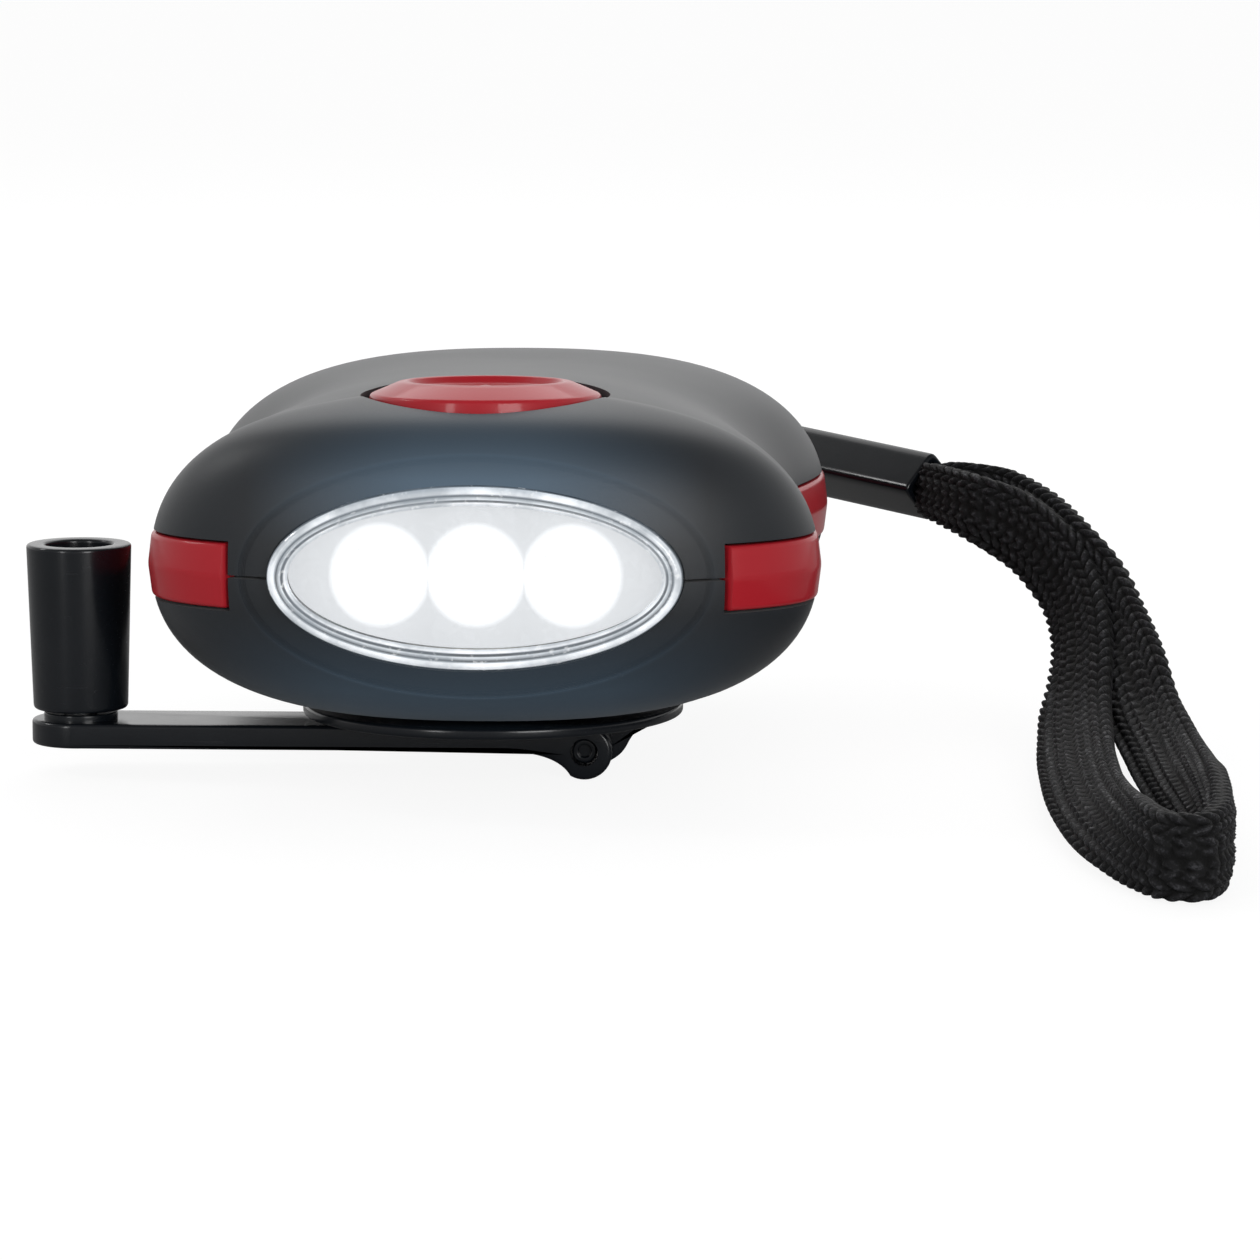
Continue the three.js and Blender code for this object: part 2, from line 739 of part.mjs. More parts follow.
// Spur gear outline: each flank follows its involute from the root circle to the tip
function gearShape(toothSize, teeth, toothAngle, boreRadius) {
  const pitch = (toothSize * teeth) / 2;
  const pressure = THREE.MathUtils.degToRad(toothPressureDegrees);
  const base = pitch * Math.cos(pressure);
  const root = pitch - dedendumShare * toothSize;
  const tip = pitch + addendumShare * toothSize;
  const halfTooth = (Math.PI * toothSize / 2 - toothPlay) / (2 * pitch);
  const involute = (radius) => {
    const angle = Math.acos(Math.min(base / radius, 1));
    return Math.tan(angle) - angle;
  };
  const flankAt = (radius) => halfTooth + involute(pitch) - involute(radius);
  const radii = [root, pitch, tip];
  const shape = new THREE.Shape();
  for (let tooth = 0; tooth < teeth; tooth += 1) {
    const middle = toothAngle + (tooth / teeth) * 2 * Math.PI;
    const rising = radii.map((radius) => [radius, middle - flankAt(radius)]);
    const falling = radii.map((radius) => [radius, middle + flankAt(radius)]).reverse();
    for (const [radius, angle] of [...rising, ...falling]) {
      const x = radius * Math.cos(angle);
      const y = radius * Math.sin(angle);
      if (shape.curves.length === 0 && shape.currentPoint.lengthSq() === 0) shape.moveTo(x, y);
      else shape.lineTo(x, y);
    }
  }
  if (boreRadius > 0) {
    const hole = new THREE.Path();
    for (let i = 0; i < smallSteps; i += 1) {
      const angle = (-i / smallSteps) * 2 * Math.PI;
      const [x, y] = [boreRadius * Math.cos(angle), boreRadius * Math.sin(angle)];
      if (i === 0) hole.moveTo(x, y);
      else hole.lineTo(x, y);
    }
    shape.holes.push(hole);
  }
  return shape;
}

function gear(toothSize, teeth, toothAngle, boreRadius, low, high) {
  const shape = gearShape(toothSize, teeth, toothAngle, boreRadius);
  const geometry = new THREE.ExtrudeGeometry(shape, { depth: high - low, bevelEnabled: false, curveSegments: 1 });
  return geometry.translate(0, 0, low);
}

// Angle of a tooth that points along a line of centres, and of one half a tooth off it
function toothTowards(from, to) {
  return Math.atan2(to[1] - from[1], to[0] - from[0]);
}
function gapTowards(from, to, teeth) {
  return toothTowards(from, to) + Math.PI / teeth;
}

function driveGear() {
  const bore = hubShaftRadius + boreGap;
  return solid(gear(firstToothSize, driveTeeth, toothTowards([0, 0], firstAt), bore, driveBottom, driveTop));
}

function compoundGear(at, before, after, wheel, pinion) {
  const bore = axleRadius + runningGap;
  const pinionGear = gear(
    pinion.toothSize, pinionTeeth, gapTowards(at, before, pinionTeeth), bore, pinion.low, pinion.high,
  );
  const wheelGear = gear(wheel.toothSize, wheel.teeth, toothTowards(at, after), bore, wheel.low, wheel.high);
  return join(solid(pinionGear), solid(wheelGear));
}

function firstGear() {
  return compoundGear(
    firstAt, [0, 0], secondAt,
    { toothSize: secondToothSize, teeth: firstWheelTeeth, low: firstWheelBottom, high: firstWheelTop },
    { toothSize: firstToothSize, low: driveBottom, high: firstWheelBottom + firstWheelFace / 2 },
  );
}

function secondGear() {
  return compoundGear(
    secondAt, firstAt, rotorAt,
    { toothSize: thirdToothSize, teeth: secondWheelTeeth, low: secondWheelBottom, high: secondWheelTop },
    {
      toothSize: secondToothSize,
      low: firstWheelBottom - pinionOverlap,
      high: secondWheelBottom + secondWheelFace / 2,
    },
  );
}

function rotorPinion() {
  const angle = gapTowards(rotorAt, secondAt, pinionTeeth);
  const bore = rotorShaftRadius + boreGap / 2;
  return solid(gear(
    thirdToothSize, pinionTeeth, angle, bore,
    secondWheelBottom - pinionOverlap, secondWheelTop + pinionOverlap,
  ));
}

// Gear plate: flat frame clamped at the seam, with the axles' upper bores
function gearPlate() {
  const inset = sideWall + fitGap;
  let plate = solid(outlineWall(inset, plateBottom, plateTop, tailWall + fitGap));
  const front = block(
    new THREE.Vector3(-frontHalfWidth, noseY - overrun, plateBottom - overrun),
    new THREE.Vector3(frontHalfWidth, -plateFrontAhead, plateTop + overrun),
  );
  plate = plate.subtract(solid(front));
  const bores = [
    [axleRadius + boreGap, firstAt],
    [axleRadius + boreGap, secondAt],
    [rotorShaftRadius + runningGap, rotorAt],
    ...Object.values(postPlaces).map((place) => [postRadius + fitGap, place]),
  ];
  for (const [radius, [x, y]] of bores) {
    plate = plate.subtract(solid(post(radius, plateBottom - overrun, plateTop + overrun, x, y)));
  }
  return plate;
}

// Generator: a ring magnet under a cap turns round a wound bobbin
const statorBottom = plateTop + boreGap;
const statorTop = statorBottom + statorHeight;
const rotorTop = statorTop + fitGap + rotorRoof;
function statorCore() {
  const bore = rotorShaftRadius + statorSleeveGap;
  return solid(turned([
    [bore, statorBottom],
    [statorFlangeRadius, statorBottom],
    [statorFlangeRadius, statorBottom + statorFlange],
    [statorCoreRadius, statorBottom + statorFlange],
    [statorCoreRadius, statorTop - statorFlange],
    [statorFlangeRadius, statorTop - statorFlange],
    [statorFlangeRadius, statorTop],
    [bore, statorTop],
    [bore, statorBottom],
  ], smallSteps));
}

function statorCoil() {
  const low = statorBottom + statorFlange + boreGap;
  const high = statorTop - statorFlange - boreGap;
  const inner = statorCoreRadius + boreGap;
  return solid(turned([[inner, low], [coilRadius, low], [coilRadius, high], [inner, high], [inner, low]], smallSteps));
}

function rotorMagnet() {
  const inner = rotorRadius - rotorWall;
  const bore = rotorShaftRadius + boreGap / 2;
  const skirt = statorBottom + statorFlange;
  return solid(turned([
    [bore, rotorTop],
    [rotorRadius, rotorTop],
    [rotorRadius, skirt],
    [inner, skirt],
    [inner, rotorTop - rotorRoof],
    [bore, rotorTop - rotorRoof],
    [bore, rotorTop],
  ].reverse()));
}

// Crank hub: disc, shaft and hinge knuckle with its gusset
function crankHub() {
  const shaftTop = driveTop + fitGap;
  const disc = turned([
    [0, discBottom],
    [discRadius - discEdge, discBottom],
    [discRadius, discBottom + discEdge],
    [discRadius, discTop - discEdge],
    [discRadius - discEdge, discTop],
    [hubShaftRadius, discTop],
    [hubShaftRadius, shaftTop],
    [0, shaftTop],
  ]);
  const profile = new THREE.Shape();
  profile.moveTo(hingeOffset + gussetToeReach, discBottom + discThickness / 2);
  profile.lineTo(hingeOffset + gussetToeReach, discBottom);
  profile.lineTo(hingeOffset + gussetReach, discBottom - gussetDrop);
  profile.lineTo(hingeOffset + gussetHeelReach, hingeZ - gussetHeelDrop);
  const heelAngle = -Math.PI / 5;
  profile.absarc(hingeOffset, hingeZ, knuckleRadius, heelAngle, -Math.PI, true);
  profile.lineTo(hingeOffset - knuckleRadius, discBottom + discThickness / 2);
  const knuckle = new THREE.ExtrudeGeometry(profile, {
    depth: knuckleWidth, bevelEnabled: false, curveSegments: smallSteps / 2,
  });
  knuckle.rotateX(Math.PI / 2).translate(0, knuckleWidth / 2, 0);
  const pinBore = hingeCylinder(hingePinRadius + runningGap, overrun);
  const screwBore = post(hubScrewRadius + boreGap, shaftTop - hubScrewDepth - boreGap, shaftTop + overrun);
  return cut(join(solid(disc), solid(knuckle)), solid(pinBore), solid(screwBore));
}

function hingeCylinder(radius, halfLength) {
  return new THREE.CylinderGeometry(radius, radius, 2 * halfLength, smallSteps)
    .translate(hingeOffset, 0, hingeZ);
}

function hubScrew() {
  const shaftTop = driveTop + fitGap;
  const under = shaftTop + boreGap;
  return solid(turned([
    [0, shaftTop - hubScrewDepth],
    [hubScrewRadius, shaftTop - hubScrewDepth],
    [hubScrewRadius, under],
    [hubScrewHeadRadius, under],
    [hubScrewHeadRadius - discEdge, under + hubScrewHeadHeight],
    [0, under + hubScrewHeadHeight],
  ], smallSteps));
}

// Crank arm: flat bar with a round end, a boss for the knob and two hinge ears
const earInnerY = knuckleWidth / 2 + fitGap;
const earOuterY = earInnerY + earWidth;
function crankArm() {
  const bar = new THREE.Shape();
  bar.moveTo(hingeOffset, -armWidth / 2);
  bar.lineTo(hingeOffset, armWidth / 2);
  bar.lineTo(-crankRadius, armEndRadius);
  bar.absarc(-crankRadius, 0, armEndRadius, Math.PI / 2, (3 * Math.PI) / 2, false);
  bar.lineTo(hingeOffset, -armWidth / 2);
  const flat = new THREE.ExtrudeGeometry(bar, {
    depth: armThickness, bevelEnabled: false, curveSegments: smallSteps / 2,
  }).translate(0, 0, armBottom);
  const ear = new THREE.Shape();
  const tangent = hingeOffset - hingeRadius - earFillet;
  ear.moveTo(tangent, armBottom);
  const earHeel = hingeRadius * Math.sin(Math.PI / 3);
  ear.quadraticCurveTo(hingeOffset - hingeRadius, armBottom, hingeOffset - hingeRadius / 2, hingeZ - earHeel);
  ear.absarc(hingeOffset, hingeZ, hingeRadius, (-2 * Math.PI) / 3, Math.PI / 2, false);
  ear.lineTo(tangent, armTop);
  const ears = new THREE.ExtrudeGeometry(ear, {
    depth: 2 * earOuterY, bevelEnabled: false, curveSegments: smallSteps / 2,
  }).rotateX(Math.PI / 2).translate(0, earOuterY, 0);
  const slot = block(
    new THREE.Vector3(hingeOffset - slotDepth, -earInnerY, armBottom - overrun),
    new THREE.Vector3(hingeOffset + overrun, earInnerY, armTop + overrun),
  );
  const sides = [-1, 1].map((side) => solid(block(
    new THREE.Vector3(-overrun, Math.min(side * earOuterY, side * overrun), armBottom - overrun),
    new THREE.Vector3(overrun, Math.max(side * earOuterY, side * overrun), armTop + overrun),
  )));
  const pinBore = hingeCylinder(hingePinRadius + runningGap, overrun);
  const boss = post(knobBossRadius, armBottom, armTop + knobBossHeight, -crankRadius, 0);
  const knobBore = post(knobScrewRadius + boreGap, armBottom - overrun, armTop + overrun, -crankRadius, 0);
  return cut(join(solid(flat), solid(ears), solid(boss)), solid(slot), ...sides, solid(pinBore), solid(knobBore));
}

// Knob: tapered tube open at the top, turning on a shouldered screw through its floor
const knobBottom = armTop + knobBossHeight + fitGap;
function crankKnob() {
  const top = knobBottom + knobHeight;
  const bore = knobScrewRadius + boreGap;
  return solid(turned([
    [bore, knobBottom],
    [knobBaseRadius - knobEdge, knobBottom],
    [knobBaseRadius, knobBottom + knobEdge],
    [knobTopRadius, top - knobEdge / 2],
    [knobTopRadius - knobEdge / 2, top],
    [knobBoreTopRadius + knobEdge / 2, top],
    [knobBoreTopRadius, top - knobEdge],
    [knobBoreBaseRadius, knobBottom + knobFloor],
    [bore, knobBottom + knobFloor],
    [bore, knobBottom],
  ]));
}

function knobScrew() {
  const head = knobBottom + knobFloor + boreGap;
  return solid(turned([
    [0, armBottom],
    [knobScrewRadius, armBottom],
    [knobScrewRadius, head],
    [knobScrewHeadRadius, head],
    [knobScrewHeadRadius - knobEdge, head + knobScrewHeadHeight],
    [0, head + knobScrewHeadHeight],
  ], smallSteps));
}

// Case screw: pan head in its counterbore, shank up into the upper shell's post
function caseScrew([x, y]) {
  const seat = screwSeatZ(x, y);
  const head = seat - boreGap;
  return solid(turned([
    [0, head - screwHeadHeight],
    [screwHeadRadius - screwRadius / 2, head - screwHeadHeight],
    [screwHeadRadius, head - screwHeadHeight / 2],
    [screwHeadRadius, head],
    [screwRadius, head],
    [screwRadius, seat + screwGrip],
    [0, seat + screwGrip],
  ], smallSteps));
}

// Main board, switch and plunger under the button
const mainBoardBottom = plateTop + boreGap;
const mainBoardTop = mainBoardBottom + boardThickness;
const switchBottom = mainBoardTop + boreGap;
const switchTop = switchBottom + switchHeight;
function switchBody() {
  const body = block(
    new THREE.Vector3(-switchSide / 2, -switchSide / 2, switchBottom),
    new THREE.Vector3(switchSide / 2, switchSide / 2, switchTop),
  );
  const bore = post(plungerRadius + runningGap, switchTop - plungerDepth, switchTop + overrun);
  return cut(solid(body), solid(bore));
}

function switchPlunger() {
  const foot = buttonTop - buttonCone - buttonSide - buttonSkirt;
  return solid(post(plungerRadius, switchTop - plungerDepth + buttonTravel + fitGap, foot - boreGap));
}

// Battery cell, lying along Y on the gear plate
function batteryCell() {
  return solid(new THREE.CylinderGeometry(cellRadius, cellRadius, cellLength, smallSteps));
}

// Strap sleeve: square bar on its edge, from the strap's end to the loop's end
function strapSleeve() {
  const half = sleeveSide / 2;
  const flat = half - sleeveRounding;
  const bar = new THREE.Shape();
  bar.moveTo(half, -flat);
  bar.absarc(flat, flat, sleeveRounding, 0, Math.PI / 2, false);
  bar.absarc(-flat, flat, sleeveRounding, Math.PI / 2, Math.PI, false);
  bar.absarc(-flat, -flat, sleeveRounding, Math.PI, (3 * Math.PI) / 2, false);
  bar.absarc(flat, -flat, sleeveRounding, (3 * Math.PI) / 2, 2 * Math.PI, false);
  const geometry = new THREE.ExtrudeGeometry(bar, { depth: sleeveLength, bevelEnabled: false, curveSegments: 3 });
  const along = new THREE.Vector3(...sleeveTowards).normalize();
  const across = new THREE.Vector3(0, 0, 1).cross(along).normalize();
  const frame = new THREE.Matrix4().makeBasis(across, new THREE.Vector3().crossVectors(along, across), along);
  geometry.rotateZ(Math.PI / 4).applyMatrix4(frame);
  const far = new THREE.Vector3(...sleeveNear).addScaledVector(along, -sleeveLength);
  return solid(geometry.translate(far.x, far.y, far.z));
}

function smoothCurve(route) {
  const points = route.map(([x, y, z]) => new THREE.Vector3(x, y, z));
  return new THREE.CatmullRomCurve3(points, false, 'centripetal');
}

// Flat woven strap: an oval section swept along the route, leaning as each row says
function wristStrap() {
  const middle = smoothCurve(strapRoute);
  const rows = strapRoute.length - 1;
  const rings = [];
  for (let i = 0; i <= strapSteps; i += 1) {
    const u = middle.getUtoTmapping(i / strapSteps);
    const row = Math.min(Math.floor(u * rows), rows - 1);
    const part = u * rows - row;
    const lean = THREE.MathUtils.degToRad(THREE.MathUtils.lerp(strapRoute[row][3], strapRoute[row + 1][3], part));
    const share = THREE.MathUtils.lerp(strapRoute[row][4], strapRoute[row + 1][4], part);
    const centre = middle.getPoint(u);
    const along = middle.getTangent(u);
    const left = new THREE.Vector3(0, 0, 1).cross(along).normalize();
    const up = new THREE.Vector3().crossVectors(along, left);
    const broad = left.clone().multiplyScalar(Math.cos(lean)).addScaledVector(up, Math.sin(lean));
    const thin = up.clone().multiplyScalar(Math.cos(lean)).addScaledVector(left, -Math.sin(lean));
    const ring = [];
    for (let side = 0; side < strapSides; side += 1) {
      const angle = (side / strapSides) * 2 * Math.PI;
      const reachBroad = (strapWidth / 2) * share * Math.cos(angle);
      const reachThin = (strapThickness / 2) * share * Math.sin(angle);
      ring.push(centre.clone().addScaledVector(broad, reachBroad).addScaledVector(thin, reachThin));
    }
    rings.push(ring);
  }
  return solid(loft(rings));
}

// Thin loop: round cord swept along its route
function strapLoop() {
  const ring = new THREE.Shape();
  ring.absarc(0, 0, loopDiameter / 2, 0, 2 * Math.PI, false);
  return solid(new THREE.ExtrudeGeometry(ring, {
    steps: loopSteps, bevelEnabled: false, curveSegments: loopSides / 2, extrudePath: smoothCurve(loopRoute),
  }));
}

// The assembly
const flashlight = new THREE.Group();
const onTable = new THREE.Group();
flashlight.add(onTable);

function add(name, shape, material, x = 0, y = 0, z = 0) {
  const geometry = shape instanceof THREE.BufferGeometry ? shape : geometryOf(shape);
  const mesh = new THREE.Mesh(geometry, material.clone());
  mesh.name = name;
  mesh.position.set(x, y, z);
  onTable.add(mesh);
  return mesh;
}

const shellFinish = plastic(softBlack, 0.62);
const redFinish = plastic(glossRed, 0.22);
const blackFinish = plastic(glossBlack, 0.2);
const steelFinish = plastic(steel, 0.3, 1);
const gearFinish = plastic(naturalPlastic, 0.5);
const boardFinish = plastic(boardGreen, 0.5);

add('upper_shell', upperShell(), shellFinish);
add('lower_shell', lowerShell(), shellFinish);
add('side_band_left', sideBand(-1), redFinish);
add('side_band_right', sideBand(1), redFinish);
add('lens', lens(), plastic(clear, 0.05));
add('reflector', reflector(), plastic(silverWhite, 0.3));
['led_left', 'led_centre', 'led_right'].forEach((name, i) => {
  add(name, solid(led()), plastic(lampWhite, 0.1), ledPlaces[i], ledBoardFrontY - boreGap, seamZ);
});
add('led_board', solid(block(
  new THREE.Vector3(-ledBoardHalfWidth, 0, -ledBoardHalfHeight),
  new THREE.Vector3(ledBoardHalfWidth, boardThickness, ledBoardHalfHeight),
)), boardFinish, 0, ledBoardFrontY, seamZ);

add('power_button', powerButton(), redFinish, 0, -buttonAhead);
add('switch_plunger', switchPlunger(), plastic(glossBlack, 0.4), 0, -buttonAhead);
add('switch_body', switchBody(), plastic(glossBlack, 0.5), 0, -buttonAhead);
add('main_board', solid(block(
  new THREE.Vector3(-mainBoardHalfWidth, -mainBoardFrontAhead, mainBoardBottom),
  new THREE.Vector3(mainBoardHalfWidth, mainBoardBehind, mainBoardTop),
)), boardFinish);

for (const [name, place] of Object.entries(postPlaces)) {
  add(`case_screw_${name}`, caseScrew(place), steelFinish, ...place);
}

add('gear_plate', gearPlate(), plastic(glossBlack, 0.5));
[['first_axle', firstAt], ['second_axle', secondAt]].forEach(([name, place]) => {
  add(name, solid(post(axleRadius, axleFoot(place), plateTop)), steelFinish, ...place);
});
add('drive_gear', driveGear(), gearFinish);
add('first_gear', firstGear(), gearFinish, ...firstAt);
add('second_gear', secondGear(), gearFinish, ...secondAt);
add('rotor_pinion', rotorPinion(), gearFinish, ...rotorAt);
const rotorShaftFoot = secondWheelBottom - pinionOverlap - gearStep;
add('rotor_shaft', solid(post(rotorShaftRadius, rotorShaftFoot, rotorTop)), steelFinish, ...rotorAt);
add('rotor_magnet', rotorMagnet(), plastic(magnetGrey, 0.4, 0.6), ...rotorAt);
add('stator_core', statorCore(), plastic(steel, 0.5, 0.8), ...rotorAt);
add('stator_coil', statorCoil(), plastic(copper, 0.4, 0.5), ...rotorAt);
['battery_cell_front', 'battery_cell_middle', 'battery_cell_rear'].forEach((name, i) => {
  const y = cellBehind + i * (cellLength + cellSpacing);
  add(name, batteryCell(), plastic(cellGreen, 0.4), cellX, y, plateTop + cellRadius + boreGap);
});

add('crank_hub', crankHub(), blackFinish);
add('hub_screw', hubScrew(), steelFinish);
add('hinge_pin', solid(hingeCylinder(hingePinRadius, earOuterY - fitGap)), steelFinish);
add('crank_arm', crankArm(), blackFinish);
add('knob_screw', knobScrew(), steelFinish, -crankRadius);
add('crank_knob', crankKnob(), blackFinish, -crankRadius);
add('strap_anchor_pin', solid(post(
  anchorPinRadius, seamZ - notchHalfHeight - anchorPinSeat, seamZ + notchHalfHeight + anchorPinSeat,
)), steelFinish, 0, anchorPinY);
const strapNames = ['strap_loop', 'strap_sleeve', 'wrist_strap'];
add('strap_loop', strapLoop(), plastic(strapBlack, 0.9));
add('strap_sleeve', strapSleeve(), plastic(glossBlack, 0.45));
add('wrist_strap', wristStrap(), plastic(strapBlack, 0.95));

// Origin at the middle of the footprint of everything but the strap
const footprint = new THREE.Box3();
for (const mesh of onTable.children) {
  if (!strapNames.includes(mesh.name)) footprint.expandByObject(mesh);
}
const footprintMiddle = footprint.getCenter(new THREE.Vector3());
onTable.position.set(-footprintMiddle.x, -footprintMiddle.y, 0);

export default flashlight;
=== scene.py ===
import math

import bpy
import numpy as np
from bpy.props import FloatProperty, FloatVectorProperty, IntProperty, PointerProperty
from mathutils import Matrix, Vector


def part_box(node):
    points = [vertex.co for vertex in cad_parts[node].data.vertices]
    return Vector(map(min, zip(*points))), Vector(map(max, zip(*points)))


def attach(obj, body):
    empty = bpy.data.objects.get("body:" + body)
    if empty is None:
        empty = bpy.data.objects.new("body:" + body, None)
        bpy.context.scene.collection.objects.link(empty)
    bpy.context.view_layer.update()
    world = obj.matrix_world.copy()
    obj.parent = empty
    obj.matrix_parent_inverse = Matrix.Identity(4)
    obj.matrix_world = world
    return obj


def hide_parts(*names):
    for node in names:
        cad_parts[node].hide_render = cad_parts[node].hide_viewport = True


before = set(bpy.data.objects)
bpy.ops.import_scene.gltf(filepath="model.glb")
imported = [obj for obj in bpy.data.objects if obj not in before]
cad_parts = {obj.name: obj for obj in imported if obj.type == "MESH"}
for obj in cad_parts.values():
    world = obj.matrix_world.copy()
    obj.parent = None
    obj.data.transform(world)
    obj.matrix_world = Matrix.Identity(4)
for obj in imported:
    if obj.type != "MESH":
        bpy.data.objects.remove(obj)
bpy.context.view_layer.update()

bl_info = {
    "name": "Hand Crank Flashlight",
    "version": (1, 0, 0),
    "blender": (4, 5, 0),
    "location": "3D View > Sidebar > Flashlight",
    "description": "Builds a flashlight with its oval lamp, push button, crank and wrist strap",
    "category": "Add Mesh",
}

MM = 0.001
HUB_LOW, HUB_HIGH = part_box("crank_hub")
# The crank's axis in the frame. Shapes are worked out from it and moved here.
ORIGIN = np.array([(HUB_LOW.x + HUB_HIGH.x) / 2, (HUB_LOW.y + HUB_HIGH.y) / 2, 0.0])


# Sizes and colours

def length(name, text, millimetres):
    """A length property in metres, which the panel shows in the scene's unit."""
    return FloatProperty(
        name=name, description=text, default=millimetres * MM, unit="LENGTH", precision=5)


def colour(name, text, value):
    """A colour whose three parts are linear."""
    return FloatVectorProperty(
        name=name, description=text, default=value, size=3, subtype="COLOR", min=0.0, max=1.0)


class FlashlightHousing(bpy.types.PropertyGroup):
    """Sizes of the housing, its band, its lamp opening and its button."""
    front_half_width: length("Front half width", "Half the width of the front lobe", 30)
    waist_half_width: length("Waist half width", "Half the width at the waist", 26.4)
    rear_half_width: length("Rear half width", "Half the width of the rear lobe", 30.2)
    front_lobe: length("Front lobe", "How far the front lobe's middle lies ahead of the crank", 11)
    waist: length("Waist", "How far the waist lies behind the crank's axis", 13)
    rear_lobe: length("Rear lobe", "How far the rear lobe's middle lies behind the crank", 36.6)
    nose: length("Nose", "Length of the nose ahead of the front lobe's middle", 15)
    tail: length("Tail", "Length of the tail behind the rear lobe's middle", 28)
    seam_height: length("Seam height", "Height of the seam above the table", 20.9)
    upper_height: length("Upper height", "Height of the roof above the seam", 14.5)
    swell: length("Swell", "How much the roof rises round the button", 1.25)
    lower_height: length("Lower height", "Depth of the floor below the seam", 13.9)
    wall: length("Wall", "Thickness of the shells", 2)
    seam_gap: length("Seam gap", "Width of the line between the shells", 0.25)
    band_half_height: length("Band half height", "Half the height of the side band", 2.9)
    band_front: length("Band front", "Where the band starts, from the middle of the nose", 22)
    lens_half_width: length("Lens half width", "Half the width of the lens", 18.3)
    lens_half_height: length("Lens half height", "Half the height of the lens", 8.2)
    lens_raise: length("Lens raise", "How far the lens's middle lies above the seam", 0.25)
    lamp_pitch: length("Lamp pitch", "Distance from lamp to lamp", 8.46)
    button_ahead: length("Button ahead", "How far the button lies ahead of the crank's axis", 9)
    button_radius: length("Button radius", "Radius of the push button", 10.6)
    button_rise: length("Button rise", "How far the button stands above the roof", 1.95)


class FlashlightCrank(bpy.types.PropertyGroup):
    """Sizes of the crank disc, the arm and the knob."""
    hinge_offset: length("Hinge offset", "From the crank's axis to the arm's hinge", 8.6)
    hinge_radius: length("Hinge radius", "Radius of the arm's ears", 2.55)
    crank_radius: length("Crank radius", "From the crank's axis to the knob's when folded", 38.2)
    arm_width: length("Arm width", "Width of the arm", 9)
    arm_thickness: length("Arm thickness", "Thickness of the arm", 2.3)
    disc_radius: length("Disc radius", "Radius of the crank disc", 17.5)
    knob_radius: length("Knob radius", "Radius of the knob at its top", 4.83)
    knob_height: length("Knob height", "Height of the knob", 15.3)


class FlashlightStrap(bpy.types.PropertyGroup):
    """Sizes of the braid and its sleeve."""
    width: length("Width", "Width of the flat braid", 7.4)
    thickness: length("Thickness", "Thickness of the flat braid", 2.3)
    stitch: length("Stitch", "Length of one stitch of the braid at the sleeve", 1.45)
    slack_stitch: length("Slack stitch", "Length of one stitch where the braid lies slack", 2.2)
    ribs: IntProperty(
        name="Ribs", description="Ribs of stitches across each face", default=4, min=1)
    sleeve_side: length("Sleeve side", "Side of the square sleeve", 5.2)
    sleeve_length: length("Sleeve length", "Length of the sleeve", 28)
    loop_diameter: length("Loop diameter", "Thickness of the thin loop", 1.2)


class FlashlightFinish(bpy.types.PropertyGroup):
    """Colours of the visible finishes."""
    rubber: colour("Rubber", "Soft black of the shells", (0.0115, 0.0145, 0.0185))
    red: colour("Red", "Gloss red of the band and the button", (0.470, 0.0150, 0.0250))
    black: colour("Black", "Gloss black of the crank", (0.0045, 0.0058, 0.0078))
    braid: colour("Braid", "Black of the strap", (0.0058, 0.0058, 0.0066))
    silver: colour("Silver", "White metallised reflector", (0.72, 0.74, 0.76))
    glow: colour("Glow", "Light of the lamps", (0.96, 0.98, 1.0))


def chosen(group):
    """The sizes or colours that the panel shows for one group."""
    return getattr(bpy.context.scene, "flashlight_" + group)


# Meshes from arrays

def read(items, name, width=3, kind=np.float32):
    """One number or vector of each item, as an array."""
    flat = np.empty(len(items) * width, kind)
    items.foreach_get(name, flat)
    return flat.reshape(-1, width) if width > 1 else flat


def unit(rows):
    """Vectors brought to length one."""
    return rows / np.linalg.norm(rows, axis=-1, keepdims=True)


def travelled_along(path):
    """Distance from the start to each point of a path."""
    return np.concatenate([[0], np.cumsum(np.linalg.norm(np.diff(path, axis=0), axis=1))])


def grid_quads(rows, columns, closed):
    """Quads between rows * columns points laid out row by row; closed joins the last column
    to the first."""
    count = columns if closed else columns - 1
    row, column = np.meshgrid(np.arange(rows - 1), np.arange(count), indexing="ij")
    following = (column + 1) % columns
    low, high = row * columns, (row + 1) * columns
    quads = np.stack([low + column, low + following, high + following, high + column], axis=-1)
    return quads.reshape(-1, 4)


def fan(ring, centre):
    """Triangles from each side of a ring of point numbers to one centre point."""
    return np.stack([ring, np.roll(ring, -1), np.full(len(ring), centre)], axis=-1)


def strips(ring):
    """Triangles that close a ring from side to side, where points i and n - i face each other."""
    count = len(ring)
    i = np.arange(count // 2)
    near, ahead = ring[i], ring[i + 1]
    far, far_ahead = ring[(count - i) % count], ring[(count - i - 1) % count]
    both = np.concatenate([np.stack([near, ahead, far], -1), np.stack([ahead, far_ahead, far], -1)])
    whole = (both[:, 0] != both[:, 1]) & (both[:, 1] != both[:, 2]) & (both[:, 0] != both[:, 2])
    return both[whole]


def volume(points, quads, triangles):
    """Six times the volume: the sum of a . (b x c) over all triangles."""
    split = np.concatenate([quads[:, [0, 1, 2]], quads[:, [0, 2, 3]], triangles])
    a, b, c = points[split[:, 0]], points[split[:, 1]], points[split[:, 2]]
    return float(np.einsum("ij,ij->", a, np.cross(b, c)))


